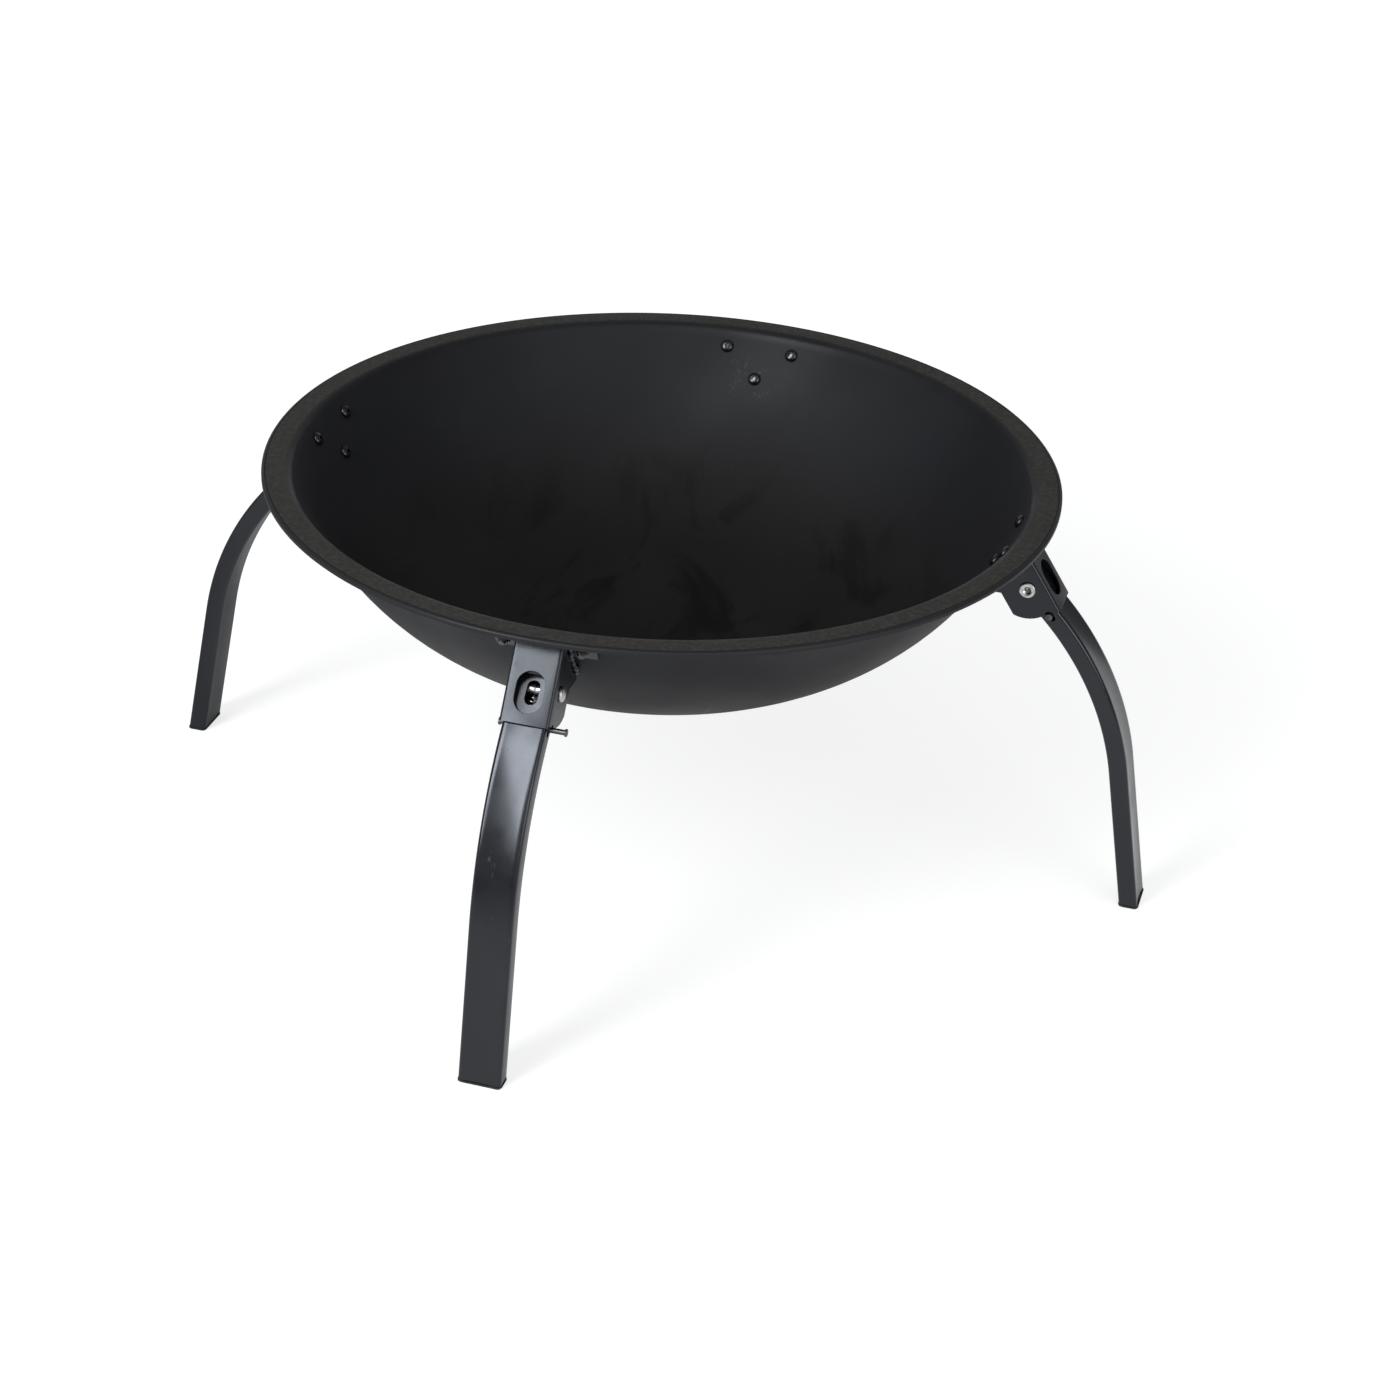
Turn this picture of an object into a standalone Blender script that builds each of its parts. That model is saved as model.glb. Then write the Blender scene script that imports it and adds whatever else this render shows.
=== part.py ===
"""Folding fire bowl: a spun steel dish on four folding tube legs.

The origin lies on the floor under the centre of the dish, +Z is up and the
right leg stands out along +X. Every size is a real one, written in millimetres
and turned into metres by MM. Each leg group is modelled once in a radial frame
(X outward, Y along the rim, Z up) and then turned to its four places.
"""
import math

import bmesh
import bpy
from mathutils import Matrix, Vector

MM = 0.001

# Clearance between neighbouring pieces
GAP = 0.3 * MM

# Dish
RIM_RADIUS = 270.0 * MM
RIM_HEIGHT = 272.0 * MM
SHEET = 1.2 * MM
LIP_HEIGHT = 3.4 * MM
LIP_BEND = 1.8 * MM
FLANGE_WIDTH = 18.8 * MM
FLANGE_BEND = 7.0 * MM
WALL_LEAN = math.radians(30.6)
BOWL_DEPTH = 138.6 * MM
WALL_BELOW_SCREW = 3.3 * MM
DISH_RADIUS = 424.0 * MM
BOWL_FACETS = 60

# Leg places
LEG_AZIMUTHS = {"right": 0.0, "back": 90.0, "left": 180.0, "front": 270.0}

# Pivot of a leg: below the rim's top, and inside the rim's edge
PIVOT_DROP = 41.0 * MM
PIVOT_INSET = 12.0 * MM

# Leg tube
TUBE_WIDTH = 28.4 * MM
TUBE_DEPTH = 12.7 * MM
TUBE_WALL = 1.2 * MM
TUBE_CORNER = 2.2 * MM
TUBE_TOP = 8.0 * MM
LEG_LEAN_TOP = math.radians(44.0)
LEG_LEAN_FOOT = math.radians(10.0)
LEG_BEND_START = 26.0 * MM
LEG_BEND_RADIUS = 210.0 * MM
LEG_BEND_STEPS = 8
SPRING_WINDOW_LENGTH = 16.0 * MM
SPRING_WINDOW_WIDTH = 8.4 * MM
SPRING_WINDOW_CENTRE = 3.8 * MM

# Foot cap
CAP_THICKNESS = 1.5 * MM
CAP_LIP = 0.5 * MM
CAP_CHAMFER = 0.6 * MM
PLUG_LENGTH = 14.0 * MM
PLUG_TAPER = 0.5 * MM

# Leg bracket
BRACKET_SHEET = 1.5 * MM
BRACKET_BEND = 2.0 * MM
WEB_LEAN = math.radians(33.5)
WEB_BELOW_PIVOT = 23.1 * MM
CHEEK_DEPTH = 30.0 * MM
SHOULDER_DROP = 46.5 * MM
WINDOW_LENGTH = 26.2 * MM
WINDOW_WIDTH = 18.5 * MM
WINDOW_MARGIN = 7.0 * MM

# Mounting plate
PLATE_SHEET = 1.5 * MM
PLATE_TOP_DROP = 6.0 * MM
PLATE_TAB_HEIGHT = 18.0 * MM
PLATE_FULL_HEIGHT = 40.5 * MM
PLATE_HALF_WIDTH = 34.0 * MM
PLATE_CENTRE_HALF_WIDTH = 16.5 * MM
PLATE_STEP = 1.5 * MM

# Pivot rivet
RIVET_SHANK = 6.0 * MM
RIVET_HEAD = 10.0 * MM
RIVET_HEAD_HEIGHT = 2.6 * MM
RIVET_FLARE = 11.0 * MM
RIVET_FLARE_HEIGHT = 1.3 * MM
RIVET_BORE = 3.6 * MM
RIVET_BORE_DEPTH = 5.0 * MM

# Lock pin
PIN_DIAMETER = 3.5 * MM
PIN_HEAD = 5.0 * MM
PIN_HEAD_HEIGHT = 1.2 * MM
PIN_REACH = 23.3 * MM
PIN_GRIP_LENGTH = 10.0 * MM
PIN_TAIL_LENGTH = 2.0 * MM
PIN_TRAVEL_IN = 1.2 * MM
PIN_TRAVEL_OUT = 3.0 * MM

# Lock spring
SPRING_WIRE = 0.9 * MM
SPRING_COIL = 6.4 * MM
SPRING_TURNS = 5
SPRING_LEAD = 2.2 * MM

# Bowl screws and nuts
SCREW_SHANK = 5.0 * MM
SCREW_HEAD = 9.5 * MM
SCREW_HEAD_HEIGHT = 2.7 * MM
SCREW_SOCKET = 3.0 * MM
SCREW_SOCKET_DEPTH = 1.5 * MM
UPPER_SCREW_LENGTH = 10.0 * MM
LOWER_SCREW_LENGTH = 12.0 * MM
SCREW_CHAMFER = 0.5 * MM
NUT_WIDTH = 8.0 * MM
NUT_HEIGHT = 5.0 * MM
NUT_CROWN_HEIGHT = 1.4 * MM
NUT_CROWN = 7.2 * MM
UPPER_SCREW_DROP = 12.6 * MM
UPPER_SCREW_OFFSET = 24.9 * MM
LOWER_SCREW_DROP = 31.5 * MM

# Places worked out from the sizes above
PIVOT = Vector((RIM_RADIUS - PIVOT_INSET, 0.0, RIM_HEIGHT - PIVOT_DROP))
PIN_HOLE = PIN_DIAMETER + 2.0 * GAP
RIVET_HOLE = RIVET_SHANK + 2.0 * GAP
SCREW_HOLE = SCREW_SHANK + 2.0 * GAP
CHEEK_INNER = TUBE_WIDTH / 2.0 + GAP
CHEEK_OUTER = CHEEK_INNER + BRACKET_SHEET
CHEEK_ARC = PIN_REACH - PIN_DIAMETER / 2.0 - GAP
LEAN_STEP = LEG_LEAN_TOP - WEB_LEAN
WEB_INNER = ((TUBE_DEPTH / 2.0 + GAP + WEB_BELOW_PIVOT * math.sin(LEAN_STEP))
             / math.cos(LEAN_STEP))
WEB_OUTER = WEB_INNER + BRACKET_SHEET
HALF_FACET = math.pi / BOWL_FACETS


def direction(lean):
    """Unit vector that points down and outward, at an angle from the vertical."""
    return Vector((math.sin(lean), 0.0, -math.cos(lean)))


def outward(lean):
    """Unit vector square to direction(lean), on the side away from the dish."""
    return Vector((math.cos(lean), 0.0, math.sin(lean)))


def web_point(down, out, side=0.0):
    """Point near the pivot, measured along and square to the bracket's web."""
    return direction(WEB_LEAN) * down + outward(WEB_LEAN) * out + Vector((0.0, side, 0.0))


def tube_point(down, out, side=0.0):
    """Point near the pivot, measured along and square to the leg's straight top."""
    return (direction(LEG_LEAN_TOP) * down + outward(LEG_LEAN_TOP) * out
            + Vector((0.0, side, 0.0)))


def wall_radius(height, offset=0.0):
    """Radius of the dish wall's inner face, or of a face outside it by offset."""
    corner = RIM_RADIUS - FLANGE_WIDTH
    return corner - (RIM_HEIGHT - height) * math.tan(WALL_LEAN) + offset / math.cos(WALL_LEAN)


def facet_radius(radius, azimuth):
    """Distance from the axis to a flat-sided ring whose corners are at radius."""
    step = 2.0 * HALF_FACET
    from_middle = azimuth - step * round(azimuth / step)
    return radius * math.cos(HALF_FACET) / math.cos(from_middle)


def arc(centre, radius, start, end, steps):
    """Points (x, z) on an arc, both ends included."""
    angles = [start + (end - start) * i / steps for i in range(steps + 1)]
    return [(centre[0] + radius * math.cos(a), centre[1] + radius * math.sin(a)) for a in angles]


def clear_scene():
    """Remove every object of the start-up scene."""
    for thing in list(bpy.data.objects):
        bpy.data.objects.remove(thing, do_unlink=True)


def make_material(name, colour, roughness, metallic):
    """Principled material with a base colour in linear RGB."""
    material = bpy.data.materials.new(name)
    material.use_nodes = True
    shader = material.node_tree.nodes["Principled BSDF"]
    shader.inputs["Base Color"].default_value = (*colour, 1.0)
    shader.inputs["Roughness"].default_value = roughness
    shader.inputs["Metallic"].default_value = metallic
    material.diffuse_color = (*colour, 1.0)
    return material


def mesh_from(name, vertices, faces):
    """Mesh of the given points and faces, with every face pointing out."""
    bm = bmesh.new()
    corners = [bm.verts.new(v) for v in vertices]
    for face in faces:
        bm.faces.new([corners[i] for i in face])
    bmesh.ops.recalc_face_normals(bm, faces=bm.faces)
    mesh = bpy.data.meshes.new(name)
    bm.to_mesh(mesh)
    bm.free()
    return mesh


def smooth(mesh, angle=35.0):
    """Shade smooth, with edges sharper than angle kept crisp."""
    mesh.shade_smooth()
    mesh.set_sharp_from_angle(angle=math.radians(angle))


def loft(name, rings):
    """Skin through equal rings of points, capped at both ends."""
    count = len(rings[0])
    vertices = [point for ring in rings for point in ring]
    last = len(vertices) - count
    faces = [tuple(range(count)), tuple(range(last, len(vertices)))]
    for a in range(0, last, count):
        for j in range(count):
            k = (j + 1) % count
            faces.append((a + j, a + k, a + count + k, a + count + j))
    return mesh_from(name, vertices, faces)


def lathe(name, profile, segments, turn=0.0):
    """Turn an (r, z) profile round Z; a point with r = 0 becomes a pole."""
    vertices = []
    rings = []
    for r, z in profile:
        first = len(vertices)
        if r == 0.0:
            vertices.append((0.0, 0.0, z))
            rings.append([first] * segments)
            continue
        for i in range(segments):
            a = turn + 2.0 * math.pi * i / segments
            vertices.append((r * math.cos(a), r * math.sin(a), z))
        rings.append(list(range(first, first + segments)))
    faces = []
    for low, high in zip(rings, rings[1:]):
        for i in range(segments):
            k = (i + 1) % segments
            corners = [low[i], low[k], high[k], high[i]]
            faces.append(tuple(dict.fromkeys(corners)))
    return mesh_from(name, vertices, faces)


def prism(name, outline, sweep):
    """Solid between a flat outline and the same outline moved by sweep."""
    points = [Vector(p) for p in outline]
    return loft(name, [points, [p + sweep for p in points]])


def slab(name, outline, half_width):
    """Prism of an (x, z) outline, centred on Y = 0."""
    near = [Vector((x, -half_width, z)) for x, z in outline]
    return prism(name, near, Vector((0.0, 2.0 * half_width, 0.0)))


def obround(length, width, steps=6):
    """Slot outline (along, across), centred, with round ends."""
    reach = (length - width) / 2.0
    points = []
    for centre, start in ((reach, -90.0), (-reach, 90.0)):
        for i in range(steps + 1):
            a = math.radians(start + 180.0 * i / steps)
            points.append((centre + width / 2.0 * math.cos(a), width / 2.0 * math.sin(a)))
    return points


def cross_bar(name, centre, diameter, half_length, sides):
    """Round bar along Y, for a pin or for the hole that it runs in."""
    ring = [Vector((diameter / 2.0 * math.cos(2.0 * math.pi * (i + 0.5) / sides), -half_length,
                    diameter / 2.0 * math.sin(2.0 * math.pi * (i + 0.5) / sides))) + centre
            for i in range(sides)]
    return prism(name, ring, Vector((0.0, 2.0 * half_length, 0.0)))


def carve(body, cutters, added=None):
    """Return a mesh of body, with an added mesh joined and every cutter taken away."""
    scene = bpy.context.scene.collection
    blank = bpy.data.objects.new("blank", body)
    scene.objects.link(blank)
    tools = []
    steps = [("UNION", added)] if added else []
    for operation, mesh in steps + [("DIFFERENCE", mesh) for mesh in cutters]:
        tool = bpy.data.objects.new("cutter", mesh)
        tool.hide_render = True
        tool.display_type = "WIRE"
        scene.objects.link(tool)
        cut = blank.modifiers.new("cut", "BOOLEAN")
        cut.operation = operation
        cut.solver = "EXACT"
        cut.object = tool
        tools.append(tool)
    bpy.context.view_layer.update()
    shaped = blank.evaluated_get(bpy.context.evaluated_depsgraph_get())
    result = bpy.data.meshes.new_from_object(shaped)
    result.name = body.name
    for thing in [blank, *tools]:
        bpy.data.objects.remove(thing, do_unlink=True)
    return result


def wall_frame(height, side, offset):
    """Matrix square to the dish wall, offset outside it: +Z points into the dish."""
    azimuth = math.asin(side / wall_radius(height))
    radius = facet_radius(wall_radius(height), azimuth)
    origin = Vector((radius * math.cos(azimuth), radius * math.sin(azimuth), height))
    return (Matrix.Translation(origin) @ Matrix.Rotation(azimuth, 4, "Z")
            @ Matrix.Rotation(WALL_LEAN - math.pi / 2.0, 4, "Y")
            @ Matrix.Translation((0.0, 0.0, -offset)))


def screw_places():
    """Height and side offset of the three screws of one leg group."""
    upper = RIM_HEIGHT - UPPER_SCREW_DROP
    lower = RIM_HEIGHT - LOWER_SCREW_DROP
    return {"upper_a": (upper, UPPER_SCREW_OFFSET), "upper_b": (upper, -UPPER_SCREW_OFFSET),
            "lower": (lower, 0.0)}


def bowl_side(offset):
    """Points of one face of the sheet, from the axis out to the end of the lip."""
    floor = RIM_HEIGHT - BOWL_DEPTH
    corner = Vector((RIM_RADIUS - FLANGE_WIDTH, RIM_HEIGHT))
    up = Vector((math.sin(WALL_LEAN), math.cos(WALL_LEAN)))
    inward = Vector((-math.cos(WALL_LEAN), math.sin(WALL_LEAN)))
    dish = Vector((0.0, floor + DISH_RADIUS))

    # The knuckle leaves the wall below the lowest screws and runs into the dish's sphere
    start = corner - up * ((LOWER_SCREW_DROP + WALL_BELOW_SCREW) / math.cos(WALL_LEAN))
    across = start - dish
    bend_radius = ((DISH_RADIUS ** 2 - across.length_squared)
                   / (2.0 * (DISH_RADIUS + inward.dot(across))))
    knuckle = start + inward * bend_radius
    join = math.atan2(knuckle.y - dish.y, knuckle.x)

    points = [(0.0, dish.y - DISH_RADIUS - offset)]
    points += arc(dish, DISH_RADIUS + offset, -math.pi / 2.0, join, 4)[1:]
    points += arc(knuckle, bend_radius + offset, join, -WALL_LEAN, 5)[1:]

    # The wall turns outward into the flat flange
    turn = math.pi / 2.0 - WALL_LEAN
    tangent = FLANGE_BEND * math.tan(turn / 2.0)
    bend = Vector((corner.x + tangent, RIM_HEIGHT - FLANGE_BEND))
    points += arc(bend, FLANGE_BEND - offset, math.pi - WALL_LEAN, math.pi / 2.0, 3)

    # The rim's edge turns down into a short lip
    edge = Vector((RIM_RADIUS - LIP_BEND, RIM_HEIGHT - LIP_BEND))
    points += arc(edge, LIP_BEND - offset, math.pi / 2.0, 0.0, 2)
    points.append((RIM_RADIUS - offset, RIM_HEIGHT - LIP_HEIGHT))
    return points


def bowl_mesh():
    """Dish of one sheet, with three screw holes for each leg group."""
    profile = bowl_side(SHEET) + bowl_side(0.0)[::-1]
    body = lathe("bowl", profile, BOWL_FACETS, HALF_FACET)
    cutters = []
    for azimuth in LEG_AZIMUTHS.values():
        for height, side in screw_places().values():
            drill = lathe("drill", hole_profile(), 12)
            drill.transform(Matrix.Rotation(math.radians(azimuth), 4, "Z")
                            @ wall_frame(height, side, SHEET / 2.0))
            cutters.append(drill)
    mesh = carve(body, cutters)
    smooth(mesh)
    return mesh


def hole_profile():
    """Drill for a screw hole, long enough for the sheet and the plate."""
    reach = 3.0 * (SHEET + PLATE_SHEET)
    return [(0.0, -reach), (SCREW_HOLE / 2.0, -reach), (SCREW_HOLE / 2.0, reach), (0.0, reach)]


def plate_solid(name, inner, outer, columns):
    """Curved plate parallel to the dish wall; columns are (azimuth, low, high)."""
    rings = []
    for azimuth, low, high in columns:
        ring = []
        for height, offset in ((low, inner), (high, inner), (high, outer), (low, outer)):
            radius = facet_radius(wall_radius(height, offset), azimuth)
            ring.append(Vector((radius * math.cos(azimuth), radius * math.sin(azimuth), height)))
        rings.append(ring)
    return loft(name, rings)


def plate_mesh():
    """T-shaped mounting plate, with a tab on each side and three screw holes."""
    high = RIM_HEIGHT - PLATE_TOP_DROP
    tab_low = high - PLATE_TAB_HEIGHT
    full_low = high - PLATE_FULL_HEIGHT
    radius = wall_radius(high)
    outline = [(PLATE_CENTRE_HALF_WIDTH, full_low), (PLATE_CENTRE_HALF_WIDTH + PLATE_STEP, tab_low),
               (PLATE_HALF_WIDTH, tab_low)]
    half = [(math.asin(side / radius), low) for side, low in outline]
    half.append((HALF_FACET, full_low))
    corner = 3.0 * HALF_FACET
    while corner < half[2][0]:
        half.append((corner, tab_low))
        corner += 2.0 * HALF_FACET
    half.sort()
    columns = [(-a, low, high) for a, low in reversed(half)] + [(a, low, high) for a, low in half]
    body = plate_solid("mount_plate", SHEET + GAP, SHEET + GAP + PLATE_SHEET, columns)
    cutters = []
    for height, side in screw_places().values():
        drill = lathe("drill", hole_profile(), 12)
        drill.transform(wall_frame(height, side, SHEET + GAP))
        cutters.append(drill)
    mesh = carve(body, cutters)
    smooth(mesh)
    return mesh


def cheek_outline():
    """Side view of the bracket as (x, z) from the pivot, before it is seated on the plate."""
    web_top = web_point(-2.0 * WEB_BELOW_PIVOT, WEB_OUTER)
    depth = CHEEK_DEPTH - WEB_OUTER

    # The inner edge runs up to a level shoulder that reaches in to the dish
    shoulder = PIVOT_DROP - SHOULDER_DROP
    across = (-depth * math.sin(WEB_LEAN) - shoulder) / math.cos(WEB_LEAN)
    corner = web_point(across, -depth)
    behind = corner - Vector((CHEEK_DEPTH, 0.0, 0.0))
    above = Vector((behind.x, 0.0, web_top.z))

    # Round lower edge, concentric with the pivot, from the inner edge to the notch
    inner_lean = WEB_LEAN - math.pi / 2.0 + math.acos(min(depth / CHEEK_ARC, 1.0))
    seat = PIN_REACH - PIN_TRAVEL_IN
    notch = PIN_HOLE / 2.0
    cosine = (seat * seat + notch * notch - CHEEK_ARC * CHEEK_ARC) / (2.0 * seat * notch)
    mouth = math.acos(cosine)
    mouth_lean = LEG_LEAN_TOP - math.asin(notch * math.sin(mouth) / CHEEK_ARC)
    steps = 8
    edge = [direction(inner_lean + (mouth_lean - inner_lean) * i / steps) * CHEEK_ARC
            for i in range(steps + 1)]

    # Notch that the lock pin drops into: its round end, then its outer side
    for i in range(1, 6):
        a = mouth - (mouth + math.pi / 2.0) * i / 5
        edge.append(tube_point(seat - notch * math.cos(a), -notch * math.sin(a)))
    toe = WEB_BELOW_PIVOT / math.cos(LEAN_STEP) - notch * math.tan(LEAN_STEP)
    edge.append(tube_point(toe, notch))
    edge.append(web_point(WEB_BELOW_PIVOT, WEB_OUTER))
    points = edge + [web_top, above, behind, corner]
    return [(p.x, p.z) for p in points]


def bracket_mesh():
    """Pressed U bracket, open below: a web with a window, and two cheeks."""
    body = slab("leg_bracket", cheek_outline(), CHEEK_OUTER)

    # Round the two long bends of the pressing
    bm = bmesh.new()
    bm.from_mesh(body)
    out = outward(WEB_LEAN)
    bends = [e for e in bm.edges
             if all(abs(v.co.dot(out) - WEB_OUTER) < GAP / 10.0 for v in e.verts)
             and abs(e.verts[0].co.y - e.verts[1].co.y) < GAP / 10.0]
    bmesh.ops.bevel(bm, geom=bends, offset=BRACKET_BEND, segments=3, affect="EDGES", profile=0.5)
    bm.to_mesh(body)
    bm.free()

    reach = 4.0 * WEB_BELOW_PIVOT
    inside = [web_point(-reach, -reach), web_point(-reach, WEB_INNER),
              web_point(reach, WEB_INNER), web_point(reach, -reach)]
    channel = slab("channel", [(p.x, p.z) for p in inside], CHEEK_INNER)
    bore = cross_bar("bore", Vector(), RIVET_HOLE, 2.0 * CHEEK_OUTER, 16)
    middle = WEB_BELOW_PIVOT - WINDOW_MARGIN - WINDOW_LENGTH / 2.0
    window = prism("window", [web_point(middle + a, WEB_INNER - BRACKET_SHEET, b)
                              for a, b in obround(WINDOW_LENGTH, WINDOW_WIDTH)],
                   outward(WEB_LEAN) * 3.0 * BRACKET_SHEET)

    # Seat: everything from the plate's outer face inward is taken away
    high = RIM_HEIGHT + WEB_BELOW_PIVOT
    low = RIM_HEIGHT - PLATE_TOP_DROP - 2.0 * PLATE_FULL_HEIGHT
    columns = [(k * HALF_FACET, low, high) for k in (-5, -3, -1, 1, 3, 5)]
    face = SHEET + GAP + PLATE_SHEET + GAP
    seat = plate_solid("seat", face - 3.0 * CHEEK_DEPTH, face, columns)
    seat.transform(Matrix.Translation(-PIVOT))
    mesh = carve(body, [channel, bore, window, seat])
    smooth(mesh)
    return mesh


def section(half_depth, half_width, corner):
    """Rounded rectangle as (out, side) points, three to each corner."""
    points = []
    for sx, sy, start in ((1, 1, 0.0), (-1, 1, 90.0), (-1, -1, 180.0), (1, -1, 270.0)):
        for i in range(3):
            a = math.radians(start + 45.0 * i)
            points.append((sx * (half_depth - corner) + corner * math.cos(a),
                           sy * (half_width - corner) + corner * math.sin(a)))
    return points


def leg_stations():
    """Centre and lean of the tube's cross-sections, measured from the pivot."""
    stations = [(tube_point(-TUBE_TOP, 0.0), LEG_LEAN_TOP)]
    start = tube_point(LEG_BEND_START, 0.0)
    centre = start - outward(LEG_LEAN_TOP) * LEG_BEND_RADIUS
    for i in range(LEG_BEND_STEPS + 1):
        lean = LEG_LEAN_TOP + (LEG_LEAN_FOOT - LEG_LEAN_TOP) * i / LEG_BEND_STEPS
        stations.append((centre + outward(lean) * LEG_BEND_RADIUS, lean))
    return stations


def foot_point(out, side, height):
    """Point of the straight lower leg at a height above the floor, from the pivot."""
    centre, lean = leg_stations()[-1]
    start = centre + outward(lean) * out
    drop = start.z + PIVOT.z - height
    point = start + direction(lean) * (drop / math.cos(lean))
    return Vector((point.x, side, point.z))


def tube_skin(name, half_depth, half_width, corner, top, bottom):
    """Solid of one face of the tube, from above its top end to a height over the floor."""
    shape = section(half_depth, half_width, corner)
    stations = leg_stations()
    stations[0] = (stations[0][0] - direction(LEG_LEAN_TOP) * top, LEG_LEAN_TOP)
    rings = [[centre + outward(lean) * out + Vector((0.0, side, 0.0)) for out, side in shape]
             for centre, lean in stations]
    rings.append([foot_point(out, side, bottom) for out, side in shape])
    return loft(name, rings)


def tube_mesh():
    """Bent rectangular tube with its rivet bore, pin slots and spring window."""
    half_depth = TUBE_DEPTH / 2.0
    half_width = TUBE_WIDTH / 2.0
    body = tube_skin("leg_tube", half_depth, half_width, TUBE_CORNER, 0.0, CAP_THICKNESS + GAP)
    hollow = tube_skin("hollow", half_depth - TUBE_WALL, half_width - TUBE_WALL,
                       TUBE_CORNER - TUBE_WALL, TUBE_WALL, CAP_THICKNESS - TUBE_WALL)
    bore = cross_bar("bore", Vector(), RIVET_HOLE, TUBE_WIDTH, 16)
    travel = PIN_TRAVEL_IN + PIN_TRAVEL_OUT
    middle = PIN_REACH + (PIN_TRAVEL_OUT - PIN_TRAVEL_IN) / 2.0
    slot = prism("slot", [tube_point(middle + a, b, -TUBE_WIDTH)
                          for a, b in obround(PIN_HOLE + travel, PIN_HOLE, 5)],
                 Vector((0.0, 2.0 * TUBE_WIDTH, 0.0)))
    window = prism("window", [tube_point(SPRING_WINDOW_CENTRE + a, half_depth - 2.0 * TUBE_WALL, b)
                              for a, b in obround(SPRING_WINDOW_LENGTH, SPRING_WINDOW_WIDTH, 5)],
                   outward(LEG_LEAN_TOP) * 4.0 * TUBE_WALL)
    mesh = carve(body, [hollow, bore, slot, window])
    smooth(mesh)
    return mesh


def cap_mesh():
    """Plastic end cap: a lipped sole under the tube and a tapered plug inside it."""
    half_depth = TUBE_DEPTH / 2.0
    half_width = TUBE_WIDTH / 2.0
    plug_depth = half_depth - TUBE_WALL - GAP
    plug_width = half_width - TUBE_WALL - GAP
    corner = TUBE_CORNER - TUBE_WALL
    layers = [(CAP_LIP - CAP_CHAMFER, 0.0), (CAP_LIP, CAP_CHAMFER), (CAP_LIP, CAP_THICKNESS)]
    rings = []
    for grow, height in layers:
        shape = section(half_depth + grow, half_width + grow, TUBE_CORNER + grow)
        rings.append([foot_point(out, side, height) for out, side in shape])
    for shrink, height in ((0.0, CAP_THICKNESS), (PLUG_TAPER, CAP_THICKNESS + PLUG_LENGTH)):
        shape = section(plug_depth - shrink, plug_width - shrink, corner)
        rings.append([foot_point(out, side, height) for out, side in shape])
    mesh = loft("foot_cap", rings)
    smooth(mesh)
    return mesh


def rivet_mesh():
    """Tubular rivet along Y: a domed head at +Y, a flared open end at -Y."""
    seat = CHEEK_OUTER + GAP
    shank = RIVET_SHANK / 2.0
    head = RIVET_HEAD / 2.0
    flare = RIVET_FLARE / 2.0
    bore = RIVET_BORE / 2.0
    end = -seat - RIVET_FLARE_HEIGHT
    dome = [(head * math.cos(math.radians(a)), seat + RIVET_HEAD_HEIGHT
             * (0.25 + 0.75 * math.sin(math.radians(a)))) for a in (0.0, 35.0, 65.0)]
    profile = [(0.0, end + RIVET_BORE_DEPTH), (bore, end + RIVET_BORE_DEPTH),
               (bore, -seat), ((bore + flare) / 2.0, end), (flare, end + RIVET_FLARE_HEIGHT / 2.0),
               (flare, -seat), (shank, -seat), (shank, seat), (head, seat)]
    profile += dome + [(0.0, seat + RIVET_HEAD_HEIGHT)]
    mesh = lathe("pivot_rivet", profile, 14, math.pi / 14.0)
    mesh.transform(Matrix.Rotation(-math.pi / 2.0, 4, "X"))
    smooth(mesh)
    return mesh


def pin_mesh():
    """Lock pin along Y: a long grip at +Y, a short tail at -Y, a head on each end."""
    radius = PIN_DIAMETER / 2.0
    head = PIN_HEAD / 2.0
    grip = CHEEK_OUTER + PIN_GRIP_LENGTH
    tail = -CHEEK_OUTER - PIN_TAIL_LENGTH
    chamfer = PIN_HEAD_HEIGHT / 4.0
    profile = [(0.0, tail), (head - chamfer, tail), (head, tail + chamfer),
               (head, tail + PIN_HEAD_HEIGHT), (radius, tail + PIN_HEAD_HEIGHT),
               (radius, grip - PIN_HEAD_HEIGHT), (head, grip - PIN_HEAD_HEIGHT),
               (head, grip - chamfer), (head - chamfer, grip), (0.0, grip)]
    mesh = lathe("lock_pin", profile, 12, math.pi / 12.0)
    mesh.transform(Matrix.Rotation(-math.pi / 2.0, 4, "X"))
    smooth(mesh)
    return mesh


def spring_route():
    """Wire centreline: a hook round the rivet, the coil, a hook round the pin."""
    wire = SPRING_WIRE / 2.0
    top_hook = RIVET_SHANK / 2.0 + GAP + wire
    low_hook = PIN_DIAMETER / 2.0 + GAP + wire
    coil = (SPRING_COIL - SPRING_WIRE) / 2.0
    first = top_hook + SPRING_LEAD
    last = PIN_REACH - low_hook - SPRING_LEAD
    points = []
    for i in range(9):
        a = math.radians(70.0 + 290.0 * i / 8)
        points.append(tube_point(top_hook * math.cos(a), top_hook * math.sin(a)))
    steps = 8 * SPRING_TURNS
    for i in range(steps + 1):
        a = 2.0 * math.pi * i / 8
        down = first + (last - first) * i / steps
        points.append(tube_point(down, coil * math.cos(a), coil * math.sin(a)))
    for i in range(8):
        a = math.radians(180.0 - 280.0 * i / 7)
        points.append(tube_point(PIN_REACH + low_hook * math.cos(a), low_hook * math.sin(a)))
    return points


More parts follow.
